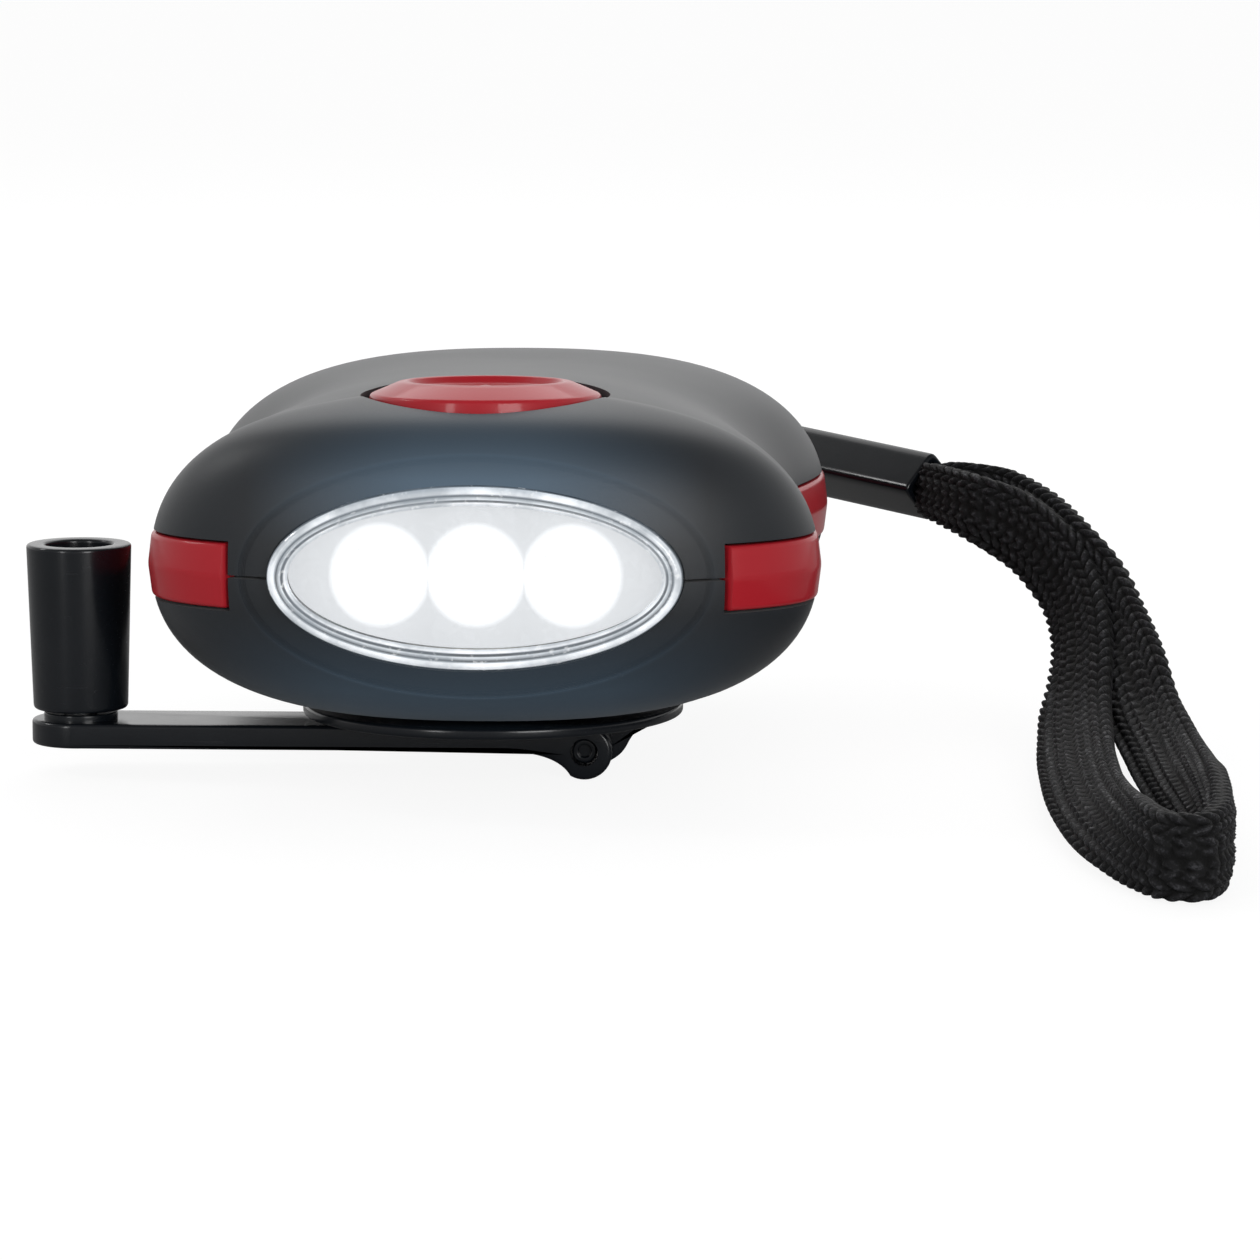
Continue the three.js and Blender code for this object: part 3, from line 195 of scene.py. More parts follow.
def mesh_of(name, points, quads, triangles):
    """A closed mesh whose faces point outwards."""
    points = np.asarray(points, float)
    quads = np.asarray(quads, int).reshape(-1, 4)
    triangles = np.asarray(triangles, int).reshape(-1, 3)
    if volume(points - points.mean(0), quads, triangles) < 0:
        quads, triangles = quads[:, ::-1], triangles[:, ::-1]
    mesh = bpy.data.meshes.new(name)
    mesh.vertices.add(len(points))
    mesh.vertices.foreach_set("co", (points + ORIGIN).astype(np.float32).ravel())
    corners = np.concatenate([quads.ravel(), triangles.ravel()])
    mesh.loops.add(len(corners))
    mesh.loops.foreach_set("vertex_index", corners.astype(np.int32))
    sizes = np.concatenate([np.full(len(quads), 4), np.full(len(triangles), 3)])
    mesh.polygons.add(len(sizes))
    starts = np.concatenate([[0], np.cumsum(sizes)[:-1]])
    mesh.polygons.foreach_set("loop_start", starts.astype(np.int32))
    mesh.update(calc_edges=True)
    if mesh.validate():
        raise RuntimeError(f"{name}: the mesh had faults")
    return mesh


def loft(name, rings, caps="fan"):
    """Skin through rings of equal count, row by row, closed at both ends by a fan or by strips."""
    rows, columns = rings.shape[:2]
    points = rings.reshape(-1, 3)
    first, last = np.arange(columns), (rows - 1) * columns + np.arange(columns)
    quads = grid_quads(rows, columns, True)
    if caps == "strips":
        ends = [strips(first)[:, ::-1], strips(last)]
    else:
        count = len(points)
        points = np.concatenate([points, [rings[0].mean(0)], [rings[-1].mean(0)]])
        ends = [fan(first, count)[:, ::-1], fan(last, count + 1)]
    return mesh_of(name, points, quads, np.concatenate(ends))


def ring_loft(name, rings):
    """Skin through rings whose last ring joins the first again."""
    rows, columns = rings.shape[:2]
    points = np.concatenate([rings, rings[:1]]).reshape(-1, 3)
    quads = grid_quads(rows + 1, columns, True) % (rows * columns)
    return mesh_of(name, points[: rows * columns], quads, np.zeros((0, 3), int))


def rounded(corners, steps=6):
    """Corners (a, b, radius) of an open profile. Each is cut back by its radius along both
    sides, and a quadratic curve with the corner as its middle point joins the two cuts."""
    corners = [np.array(corner, float) for corner in corners]
    line = [corners[0][:2]]
    share = np.linspace(0, 1, steps + 1)[:, None]
    for before, corner, after in zip(corners, corners[1:], corners[2:]):
        here, radius = corner[:2], corner[2]
        back, on = before[:2] - here, after[:2] - here
        cut = min(radius, np.hypot(*back) / 2, np.hypot(*on) / 2)
        if cut <= 0:
            line.append(here)
            continue
        start, end = here + back / np.hypot(*back) * cut, here + on / np.hypot(*on) * cut
        line.extend((1 - share) ** 2 * start + 2 * share * (1 - share) * here + share ** 2 * end)
    line.append(corners[-1][:2])
    return np.array(line)


def turned(name, corners, centre=(0, 0, 0), steps=96):
    """A profile of (radius, height, rounding) corners turned round the upright axis:
    x = r cos(t), y = r sin(t), z = height. A profile off the axis closes on itself."""
    profile = rounded(corners)
    angle = np.arange(steps) / steps * 2 * np.pi
    around = np.stack([np.cos(angle), np.sin(angle)], -1)
    on_axis = profile[0, 0] < 1e-9
    inner = profile[1:-1] if on_axis else profile[:-1]
    flat = inner[:, None, :1] * around[None]
    rings = np.concatenate([flat, np.broadcast_to(inner[:, None, 1:], flat.shape[:2] + (1,))], -1)
    rings = rings + np.array(centre)
    if not on_axis:
        return ring_loft(name, rings)
    count = rings.shape[0] * steps
    poles = np.array([[0, 0, profile[0, 1]], [0, 0, profile[-1, 1]]]) + np.array(centre)
    points = np.concatenate([rings.reshape(-1, 3), poles])
    ends = [fan(np.arange(steps), count)[:, ::-1], fan(count - steps + np.arange(steps), count + 1)]
    return mesh_of(name, points, grid_quads(rings.shape[0], steps, True), np.concatenate(ends))


def cylinder(name, radius, low, high, centre=(0, 0, 0), steps=96):
    """A plain upright cylinder between two heights."""
    corners = [(0, low, 0), (radius, low, 0), (radius, high, 0), (0, high, 0)]
    return turned(name, corners, centre, steps)


def raised(base, rows):
    """Corners (a, b, radius) in metres from rows in millimetres, with b counted from a base."""
    return [(a * MM, base + b * MM, radius * MM) for a, b, radius in rows]


def points_of(mesh):
    """A mesh's points as rows of an array."""
    return read(mesh.vertices, "co").astype(float)


def put_points(mesh, points):
    """Writes an array of points back to its mesh."""
    mesh.vertices.foreach_set("co", points.astype(np.float32).ravel())
    mesh.update()
    return mesh


def carry(mesh, name, values):
    """Gives each point of a mesh a number under a name that its finish reads."""
    data = mesh.attributes.new(name, "FLOAT", "POINT").data
    data.foreach_set("value", values.astype(np.float32))


def moved(mesh, *offset):
    """Moves a mesh by x, y and z."""
    return put_points(mesh, points_of(mesh) + np.array(offset))


def laid_along_y(mesh):
    """Turns a mesh that was made round the upright axis so that its axis lies along Y."""
    points = points_of(mesh) - ORIGIN
    return put_points(mesh, np.stack([points[:, 0], -points[:, 2], points[:, 1]], -1) + ORIGIN)


def prism_y(name, section, half_width, edge, steps=5):
    """A closed section of (x, z) points carried along Y. Its edges are quarter rounds:
    the section is drawn in by edge * (1 - sin t) at edge * (1 - cos t) from each end."""
    ahead = unit(np.roll(section, -1, 0) - np.roll(section, 1, 0))
    x, z = section.T
    area = np.sum(x * np.roll(z, -1) - z * np.roll(x, -1))
    inward = np.stack([-ahead[:, 1], ahead[:, 0]], -1) * np.sign(area)
    turn = np.linspace(0, np.pi / 2, steps)
    inset = edge * (1 - np.sin(turn))
    depth = half_width - edge * (1 - np.cos(turn))
    inset = np.concatenate([inset, inset[::-1]])
    depth = np.concatenate([-depth, depth[::-1]])
    flat = section[None] + inward[None] * inset[:, None, None]
    across = np.broadcast_to(depth[:, None, None], flat.shape[:2] + (1,))
    rings = np.concatenate([flat[..., :1], across, flat[..., 1:]], -1)
    return loft(name, rings)


def box_mesh(name, low, high):
    """A plain block between two corners."""
    x, y, z = zip(low, high)
    ring = np.array([[x[0], y[0]], [x[1], y[0]], [x[1], y[1]], [x[0], y[1]]])
    rings = np.stack([np.column_stack([ring, np.full(4, height)]) for height in z])
    return loft(name, rings)


def combined(mesh, cuts=(), joins=()):
    """Adds the solids in joins to a mesh, and then takes those in cuts from it."""
    body = bpy.data.objects.new("work", mesh)
    bpy.context.scene.collection.objects.link(body)
    others = []
    for operation, items in (("UNION", joins), ("DIFFERENCE", cuts)):
        for item in items:
            tool = bpy.data.objects.new("tool", item)
            bpy.context.scene.collection.objects.link(tool)
            modifier = body.modifiers.new("solid", "BOOLEAN")
            modifier.operation, modifier.solver = operation, "MANIFOLD"
            modifier.object = tool
            others.append(tool)
    bpy.context.view_layer.update()
    graph = bpy.context.evaluated_depsgraph_get()
    result = bpy.data.meshes.new_from_object(body.evaluated_get(graph))
    for item in [body, *others]:
        data = item.data
        bpy.data.objects.remove(item)
        bpy.data.meshes.remove(data)
    if not len(result.polygons):
        raise RuntimeError("a solid came out empty")
    return result


def finished(name, mesh, body, nodes, finish, sharp=35, normals=None):
    """Puts a mesh into the scene as a piece that rides on a body and stands for its nodes."""
    mesh.name = name
    mesh.materials.clear()
    for item in finish if isinstance(finish, (list, tuple)) else [finish]:
        mesh.materials.append(item)
    mesh.shade_smooth()
    mesh.set_sharp_from_angle(angle=math.radians(sharp))
    if normals is not None:
        set_skin_normals(mesh, normals)
    piece = bpy.data.objects.new(name, mesh)
    bpy.context.scene.collection.objects.link(piece)
    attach(piece, body)
    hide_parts(*nodes)
    return piece


# How near the field's zero a skin point lies, and how far a skin face may lean from the field
SKIN_LIMIT = 0.045
SKIN_ANGLE = math.radians(28)


def set_skin_normals(mesh, field):
    """Gives the corners that lie on a smooth skin the direction of its field's steepest rise,
    worked out by central differences, and leaves the cut faces their own."""
    points = points_of(mesh) - ORIGIN
    step = 0.02 * MM
    rise = np.stack(
        [field(points + step * axis) - field(points - step * axis) for axis in np.eye(3)], -1)
    rise /= np.maximum(np.linalg.norm(rise, axis=1), 1e-12)[:, None]
    on_skin = np.abs(field(points)) < SKIN_LIMIT
    corner = read(mesh.loops, "vertex_index", 1, np.int32)
    sizes = read(mesh.polygons, "loop_total", 1, np.int32)
    face = np.repeat(read(mesh.polygons, "normal"), sizes, axis=0)
    agree = np.einsum("ij,ij->i", face, rise[corner])
    smooth = on_skin[corner] & (agree > math.cos(SKIN_ANGLE))
    own = read(mesh.corner_normals, "vector")
    mesh.normals_split_custom_set(np.where(smooth[:, None], rise[corner], own))


# Paths

def smooth_path(rows, count):
    """Centripetal Catmull-Rom curve through rows of numbers, whose first three are a place.
    Returns count points, evenly spaced along the curve, with the other numbers carried on
    straight from row to row."""
    rows = np.asarray(rows, float)
    places = rows[:, :3]
    padded = np.concatenate([[2 * places[0] - places[1]], places, [2 * places[-1] - places[-2]]])
    part = np.arange(40) / 40
    p0, p1, p2, p3 = (padded[i:len(padded) - 3 + i][:, None] for i in range(4))
    d0, d1, d2 = (np.maximum(np.linalg.norm(b - a, axis=-1, keepdims=True), 1e-9) ** 0.5
                  for a, b in ((p0, p1), (p1, p2), (p2, p3)))
    t1 = ((p1 - p0) / d0 - (p2 - p0) / (d0 + d1) + (p2 - p1) / d1) * d1
    t2 = ((p2 - p1) / d1 - (p3 - p1) / (d1 + d2) + (p3 - p2) / d2) * d1
    u = part[None, :, None]
    curve = (p1 + u * t1 + u ** 2 * (3 * (p2 - p1) - 2 * t1 - t2)
             + u ** 3 * (2 * (p1 - p2) + t1 + t2))
    curve = np.concatenate([curve.reshape(-1, 3), places[-1:]])
    row = np.concatenate([(np.arange(len(rows) - 1)[:, None] + part).ravel(), [len(rows) - 1]])
    travelled = travelled_along(curve)
    even = np.linspace(0, travelled[-1], count)
    at = np.interp(even, travelled, row)
    spaced = np.stack([np.interp(even, travelled, curve[:, k]) for k in range(3)], -1)
    extra = [np.interp(at, np.arange(len(rows)), rows[:, k]) for k in range(3, rows.shape[1])]
    return spaced, extra, travelled[-1]


def sides_of(along):
    """The level left-hand side and the upward side of a direction, or of each of many."""
    left = unit(np.cross([0, 0, 1.0], along))
    return left, np.cross(along, left)


# Finishes

def maths(operation, reflected=False):
    """A method that adds a Math node; a reflected one puts its own value last."""
    def method(self, *others):
        values = (*others, self) if reflected else (self, *others)
        return self.paint.node("ShaderNodeMath", {"operation": operation}, dict(enumerate(values)))
    return method


class Value:
    """A node's output that can be used in sums; every operator adds a Math node."""

    def __init__(self, paint, socket):
        self.paint, self.socket = paint, socket

    __add__, __radd__ = maths("ADD"), maths("ADD", True)
    __sub__, __rsub__ = maths("SUBTRACT"), maths("SUBTRACT", True)
    __mul__, __rmul__ = maths("MULTIPLY"), maths("MULTIPLY", True)
    __truediv__, __rtruediv__ = maths("DIVIDE"), maths("DIVIDE", True)
    __pow__, __abs__ = maths("POWER"), maths("ABSOLUTE")
    at_most, sine = maths("MINIMUM"), maths("SINE")


class Paint:
    """A node tree with short ways to add nodes to it."""

    def __init__(self, tree):
        self.tree = tree
        tree.nodes.clear()

    def put(self, socket, value):
        """Links or sets one socket."""
        if isinstance(value, Value):
            self.tree.links.new(value.socket, socket)
        elif socket.type == "RGBA" and len(value) == 3:
            socket.default_value = (*value, 1.0)
        else:
            socket.default_value = value

    def node(self, kind, settings=None, sockets=None, output=0):
        """Adds a node: its settings first, then values or links for its sockets."""
        node = self.tree.nodes.new(kind)
        for name, value in (settings or {}).items():
            if name == "stops":
                ramp = node.color_ramp.elements
                while len(ramp) < len(value):
                    ramp.new(1.0)
                for element, (place, tone) in zip(ramp, value):
                    element.position, element.color = place, (*tone, 1.0)
            else:
                setattr(node, name, value)
        for name, value in (sockets or {}).items():
            self.put(node.inputs[name], value)
        return Value(self, node.outputs[output]) if node.outputs else None

    def place(self):
        """Object coordinates."""
        return self.node("ShaderNodeTexCoord", output="Object")

    def stretched(self, scale, turn=0.0):
        """Object coordinates turned about the upright axis and scaled along each axis."""
        return self.node("ShaderNodeMapping", {}, {
            "Vector": self.place(), "Rotation": (0.0, 0.0, turn), "Scale": scale})

    def noise(self, scale, detail=3.0, roughness=0.5, vector=None):
        """Noise from 0 to 1; the scale counts its features to the metre."""
        return self.node("ShaderNodeTexNoise", {}, {
            "Vector": vector or self.place(), "Scale": scale, "Detail": detail,
            "Roughness": roughness}, "Fac")

    def mix(self, first, second, factor):
        """One colour that turns into another as the factor goes from 0 to 1."""
        sockets = {0: factor, 6: first, 7: second}
        return self.node("ShaderNodeMix", {"data_type": "RGBA"}, sockets, 2)

    def between(self, value, low, high, at_low=0.0, at_high=1.0):
        """A value between two limits, brought to the span from at_low to at_high."""
        return self.node("ShaderNodeMapRange", {"clamp": True}, {
            "Value": value, "From Min": low, "From Max": high, "To Min": at_low, "To Max": at_high})

    def axis(self, index, vector=None):
        """One part of a vector, or of the Object coordinates."""
        return self.node("ShaderNodeSeparateXYZ", {}, {0: vector or self.place()}, index)

    def bump(self, height, strength, distance):
        """Normals tilted by the slope of a height."""
        return self.node("ShaderNodeBump", {}, {
            "Height": height, "Strength": strength, "Distance": distance})


class Finish(Paint):
    """A material with one surface shader."""

    def __init__(self, name, **surface):
        self.material = bpy.data.materials.new(name)
        self.material.use_nodes = True
        super().__init__(self.material.node_tree)
        self.face = self.node("ShaderNodeBsdfPrincipled")
        self.surface(**surface)

    def surface(self, **sockets):
        """Sets or links the shader's sockets; an underscore in a name stands for a space."""
        for name, value in sockets.items():
            self.put(self.face.socket.node.inputs[name.replace("_", " ")], value)

    def shown(self, **sockets):
        """Sets the last sockets, links the shader to the output and hands over the material."""
        self.surface(**sockets)
        self.node("ShaderNodeOutputMaterial", {}, {"Surface": self.face})
        return self.material

    def tones(self, base, low, high, factor):
        """A colour from low to high times as bright, as the factor goes from 0 to 1."""
        return self.mix(shade(base, low), shade(base, high), factor)


def shade(tone, factor):
    """A colour made brighter or darker by a factor."""
    return tuple(min(1.0, part * factor) for part in tone)


# Turn that brings the sleeve's length along X, and thickness of the coil's wire
SLEEVE_TURN = math.radians(47)
COIL_WIRE = 0.22 * MM


def soft_rubber():
    """Matt soft-touch coat: fine grain, faint clouds, and painted cool lamp light round the window.
    """
    base = chosen("finish").rubber
    size = chosen("housing")
    finish = Finish("soft_rubber", Specular_IOR_Level=0.5, Sheen_Weight=0.10, Sheen_Roughness=0.4,
                    Emission_Strength=1.0)
    clouds = finish.noise(55.0, 4.0)
    grain = finish.noise(5200.0, 2.0, 0.6)
    # Distance from the window's middle, where 1 is the edge of its recess
    across = (finish.axis(0) - float(ORIGIN[0])) / (size.lens_half_width * 1.145)
    middle = size.seam_height + size.lens_raise
    upward = (finish.axis(2) - middle) / (size.lens_half_height * 1.323)
    far = (across * across + upward * upward) ** 0.5
    ahead = 1 - finish.between(finish.axis(1) - float(ORIGIN[1]), -22 * MM, -12 * MM)
    level = 1 - finish.between(across * across, 0.06, 0.95)
    close = 1 - finish.between(far, 0.72, 1.75)
    # Painted light, given as emission: a cool glow above the window, a weaker one below it, and a
    # painted highlight line along the edge of its recess.
    above = finish.between(upward, 0.25, 0.80) * level * close * close
    sideways = 1 - finish.between(across * across, 0.3, 1.6)
    below = finish.between(0 - upward, 0.30, 0.95) * sideways
    edge = 1 - finish.between(abs(far - 1.0), 0.0, 0.022)
    painted_lamp_glow = (above + below * 0.27 + edge * 0.10 * (0.25 + above + below)) * ahead
    return finish.shown(
        Base_Color=finish.tones(base, 0.86, 1.22, clouds),
        Roughness=0.40 + 0.10 * clouds + 0.05 * grain,
        Emission_Color=finish.mix((0.0, 0.0, 0.0), (0.072, 0.118, 0.168), painted_lamp_glow),
        Normal=finish.bump(grain, 0.22, 0.03 * MM))


def gloss_red():
    """Polished moulded plastic: slow flow marks in the colour and a faint orange-peel skin."""
    base = chosen("finish").red
    finish = Finish("gloss_red", Coat_Roughness=0.11, Coat_IOR=1.45, Specular_IOR_Level=0.20)
    flow = finish.noise(70.0, 3.0)
    peel = finish.noise(900.0, 1.0)
    return finish.shown(
        Base_Color=finish.tones(base, 0.88, 1.14, flow), Roughness=0.34 + 0.08 * flow,
        Coat_Weight=0.34 + 0.1 * flow, Normal=finish.bump(peel, 0.05, 0.03 * MM))


def gloss_black():
    """Glossy black plastic with handling marks in its roughness and hairline scratches."""
    base = chosen("finish").black
    finish = Finish("gloss_black", Specular_IOR_Level=0.42)
    marks = finish.noise(140.0, 5.0, 0.65)
    peel = finish.noise(700.0, 1.0)
    hairlines = finish.noise(1.0, 2.0, 0.5, finish.stretched((180.0, 3600.0, 3600.0)))
    scratch = finish.between(hairlines, 0.66, 0.72)
    return finish.shown(
        Base_Color=finish.tones(base, 1.0, 1.9, marks),
        Roughness=0.15 + 0.13 * marks + 0.08 * scratch,
        Normal=finish.bump(peel + scratch * 0.4, 0.05, 0.02 * MM))


def sleeve_plastic():
    """Polished black sleeve: slow clouds and faint length-wise drawing marks in its gloss."""
    base = chosen("finish").black
    finish = Finish("sleeve_plastic", Specular_IOR_Level=0.34)
    marks = finish.noise(1.0, 3.0, 0.5, finish.stretched((90.0, 900.0, 900.0), SLEEVE_TURN))
    cloud = finish.noise(160.0, 3.0)
    return finish.shown(
        Base_Color=finish.tones(base, 0.8, 1.5, cloud), Roughness=0.15 + 0.07 * marks,
        Normal=finish.bump(marks, 0.02, 0.02 * MM))


def knitted_black():
    """Black yarn: by the relief attribute, painted shade darkens the hollows and painted highlights
    lighten the crests; painted highlights in fine fibre streaks and painted glints run over the
    stitches."""
    base = chosen("finish").braid
    finish = Finish("knitted_black", Specular_IOR_Level=0.26, Sheen_Weight=0.03,
                    Sheen_Roughness=0.45)
    relief = finish.node("ShaderNodeAttribute", {"attribute_name": "relief"}, {}, "Fac")
    fibre = finish.noise(3800.0, 3.0, 0.7)
    # Painted shade and highlight: hollows darker, crests lighter, with painted glints and painted
    # fibre highlights on the crests.
    crests = finish.between(relief, 0.30, 0.90)
    painted_glint = finish.between(finish.noise(2300.0, 3.0, 0.7), 0.50, 0.64) * crests
    yarn = finish.tones(base, 0.04, 1.3, crests)
    yarn = finish.mix(yarn, shade(base, 2.8), fibre * crests * 0.4)
    yarn = finish.mix(yarn, shade(base, 12.0), painted_glint * 0.55)
    return finish.shown(
        Base_Color=yarn, Roughness=0.74 - 0.34 * painted_glint,
        Normal=finish.bump(fibre, 0.9, 0.13 * MM))


def clear_window():
    """Clear moulded window: nearly see-through, with a gloss skin and a trace of haze."""
    finish = Finish("clear_window", Base_Color=(0.93, 0.96, 1.0), Specular_IOR_Level=0.5)
    haze = finish.noise(240.0, 3.0)
    return finish.shown(
        Roughness=0.03 + 0.05 * haze, Alpha=0.10 + 0.06 * haze,
        Normal=finish.bump(finish.noise(300.0, 1.0), 0.03, 0.03 * MM))


def clear_rim():
    """Clear rim seen edge on: painted reflections, steps of light and dark that follow the oval."""
    finish = Finish("clear_rim", Specular_IOR_Level=0.7, Coat_Weight=0.6, Coat_Roughness=0.03,
                    Emission_Strength=0.62)
    inset = finish.node("ShaderNodeAttribute", {"attribute_name": "inset"}, {}, "Fac")
    glints = finish.between(finish.noise(170.0, 4.0, 0.6), 0.36, 0.62)
    painted_sparkles = finish.between(finish.noise(1500.0, 2.0, 0.5), 0.60, 0.75)
    # Painted reflections: bands of light and dark by the inset, also given as emission, so the rim
    # glows.
    rings = finish.node("ShaderNodeValToRGB", {"stops": [
        (0.0, (0.02, 0.022, 0.025)), (0.05, (0.10, 0.12, 0.14)), (0.09, (0.74, 0.78, 0.82)),
        (0.34, (0.90, 0.93, 0.96)), (0.40, (0.30, 0.33, 0.36)), (0.45, (0.05, 0.055, 0.06)),
        (0.53, (0.42, 0.45, 0.48)), (0.61, (0.66, 0.70, 0.74)), (0.66, (0.10, 0.11, 0.12)),
        (0.73, (0.08, 0.09, 0.10)), (0.79, (0.95, 0.97, 1.0)), (0.88, (0.66, 0.69, 0.72)),
        (1.0, (0.50, 0.52, 0.55))]}, {0: inset / 2.0})
    # Patches where the glint noise is low turn toward grey, then painted white sparkles are added.
    shaded = finish.mix(rings, (0.20, 0.23, 0.26), 0.62 - 0.62 * glints)
    shaded = finish.mix(shaded, (1.0, 1.0, 1.0), painted_sparkles * 0.35)
    return finish.shown(
        Base_Color=shaded, Emission_Color=shaded, Roughness=0.05 + 0.08 * glints,
        Alpha=0.88 + 0.1 * glints, Normal=finish.bump(glints, 0.10, 0.05 * MM))


def lit_reflector():
    """Metallised reflector, its lamp light painted as a glow: bright in each cup, light grey on the
    face.
    """
    size = chosen("housing")
    colours = chosen("finish")
    finish = Finish("lit_reflector", Metallic=0.0, Emission_Strength=1.12)
    side = abs(finish.axis(0) - float(ORIGIN[0]))
    upward = finish.axis(2) - (size.seam_height + size.lens_raise)
    nearest = side.at_most(abs(side - size.lamp_pitch))
    far = (nearest * nearest * 1.07 + upward * upward) ** 0.5
    from_joint = abs(side - size.lamp_pitch / 2)
    # Painted shadow where two cups meet.
    joint_shadow = 0.72 + 0.28 * finish.between(from_joint, 0.0, 0.14 * MM)
    # Painted glow: full lamp light inside each cup, fading to light grey on the face.
    cup = (1 - finish.between(far, 4.32 * MM, 4.78 * MM)) * joint_shadow
    painted_falloff = 1 - finish.between(far, 4.3 * MM, 9.5 * MM)
    cloud = finish.noise(500.0, 2.0)
    light = finish.tones(colours.silver, 0.80, 0.93, painted_falloff)
    return finish.shown(
        Base_Color=finish.tones(colours.silver, 0.05, 0.09, cloud),
        Emission_Color=finish.mix(light, colours.glow, cup),
        Roughness=0.22 + 0.1 * cloud, Normal=finish.bump(cloud, 0.05, 0.03 * MM))


def lamp_glow():
    """A lit lamp: white over its whole dome, a little cooler at its foot."""
    glow = chosen("finish").glow
    finish = Finish("lamp_glow", Base_Color=(0.9, 0.93, 0.97), Emission_Strength=1.6)
    foot = finish.between(finish.axis(1), float(ORIGIN[1]) - 18 * MM, float(ORIGIN[1]) - 16 * MM)
    return finish.shown(
        Emission_Color=finish.mix(glow, shade(glow, 0.8), foot),
        Roughness=0.08 + 0.06 * finish.noise(800.0))


def bright_steel():
    """Plated steel: turned grooves and small bright nicks."""
    finish = Finish("bright_steel", Metallic=1.0)
    grain = finish.noise(2400.0, 3.0)
    stain = finish.noise(260.0, 4.0)
    return finish.shown(
        Base_Color=finish.mix((0.40, 0.41, 0.42), (0.62, 0.63, 0.64), stain),
        Roughness=0.24 + 0.16 * grain, Normal=finish.bump(grain, 0.12, 0.02 * MM))


def plain_moulding(name, base, roughness, metallic=0.0):
    """Moulded or cast inner piece: clouded colour, matt and gloss patches, fine grain."""
    finish = Finish(name, Metallic=metallic)
    cloud = finish.noise(150.0, 4.0)
    grain = finish.noise(3000.0, 2.0)
    return finish.shown(
        Base_Color=finish.tones(base, 0.8, 1.2, cloud), Roughness=roughness + 0.12 * grain,
        Normal=finish.bump(grain, 0.15, 0.03 * MM))


def wound_copper():
    """Enamelled wire: even ridges of wire up the coil, with painted shade in the grooves."""
    finish = Finish("wound_copper", Metallic=0.8)
    # One wave for the wire's ridges; the colour follows it, lighter on the ridges, with painted
    # shade in the grooves.
    turns = (finish.axis(2) * (2 * math.pi / COIL_WIRE)).sine()
    cloud = finish.noise(300.0, 3.0)
    return finish.shown(
        Base_Color=finish.mix((0.30, 0.085, 0.028), (0.55, 0.20, 0.07), turns * 0.5 + 0.5),
        Roughness=0.28 + 0.12 * cloud, Normal=finish.bump(turns, 0.4, 0.05 * MM))


# Housing

# Powers of the rounded plan, of the crown's sides and nose, and of its rise
PLAN_POWER = 2.2
CROWN_POWER = 3.0
NOSE_CROWN_POWER = 6.0
FLANK_POWER = 2.25
# How far a cutter reaches past what it cuts
TALL = 20 * MM
# How far the cavities lie inside the plan, at the sides and at the tail
CAVITY_INSET, CAVITY_TAIL_INSET = 3.6 * MM, 8 * MM
# How far the roof's swell reaches ahead of its top, behind it and to the sides, and how far
# its top lies behind the button's middle
SWELL_AHEAD, SWELL_BEHIND, SWELL_ACROSS, SWELL_BACK = 16 * MM, 40 * MM, 27 * MM, 1 * MM
# Faces of the lens and the reflector along Y from the crank's axis
LENS_FRONT, LENS_BACK = -24.6 * MM, -22.4 * MM
REFLECTOR_FACE, REFLECTOR_BACK = -22.1 * MM, -16.9 * MM
LAMP_FOOT = -16.8 * MM
# How deep the lens's seat and the throat go, and how far the throat lies inside the lens
SEAT_DEPTH, THROAT_DEPTH, THROAT_INSET = 2.4 * MM, 7.8 * MM, 1.4 * MM
# The recess round the window: number of steps, depth of each, how far the first one spreads
# and how much less each of the others does
RECESS_STEPS, RECESS_STEP, RECESS_SPREAD, RECESS_LESS = 5, 0.04 * MM, 2.65, 0.14
# How far the anchor pin stands ahead of the tail's end
ANCHOR_INSET = 2 * MM
# Places of the case screws from the crank's axis
CASE_SCREWS = {
    "case_screw_front_left": (-19 * MM, -12 * MM), "case_screw_front_right": (19 * MM, -12 * MM),
    "case_screw_rear_left": (-17 * MM, 51 * MM), "case_screw_rear_right": (17 * MM, 51 * MM)}


def half_width_at(y, inset):
    """Half width in plan: from each lobe's width down to the waist's by half a cosine wave."""
    size = chosen("housing")
    ahead = y < size.waist
    wide = np.where(ahead, size.front_half_width, size.rear_half_width) - inset
    start = np.where(ahead, -size.front_lobe, size.rear_lobe)
    narrow = size.waist_half_width - inset
    return narrow + (wide - narrow) * (1 + np.cos(np.pi * (y - start) / (size.waist - start))) / 2


def outline(inset, tail_inset=None, detail=(46, 44, 44)):
    """Plan of the housing, from the middle of the nose round the right side, the tail and the
    left side. Nose and tail are quarters of |x|^2.2 + |y|^2.2 = 1."""
    size = chosen("housing")
    tail_inset = inset if tail_inset is None else tail_inset
    bend = 2 / PLAN_POWER
    front, side, rear = detail
    turn = np.arange(front) / front * np.pi / 2
    nose = np.stack([(size.front_half_width - inset) * np.sin(turn) ** bend,
                     -size.front_lobe - (size.nose - inset) * np.cos(turn) ** bend], -1)
    y = -size.front_lobe + np.arange(side) / side * (size.front_lobe + size.rear_lobe)
    flank = np.stack([half_width_at(y, inset), y], -1)
    turn = np.arange(rear) / rear * np.pi / 2
    tail = np.stack([(size.rear_half_width - inset) * np.cos(turn) ** bend,
                     size.rear_lobe + (size.tail - tail_inset) * np.sin(turn) ** bend], -1)
    right = np.concatenate([nose, flank, tail])
    middle = np.array([[0.0, size.rear_lobe + size.tail - tail_inset]])
    return np.concatenate([right, middle, right[:0:-1] * [-1, 1]])


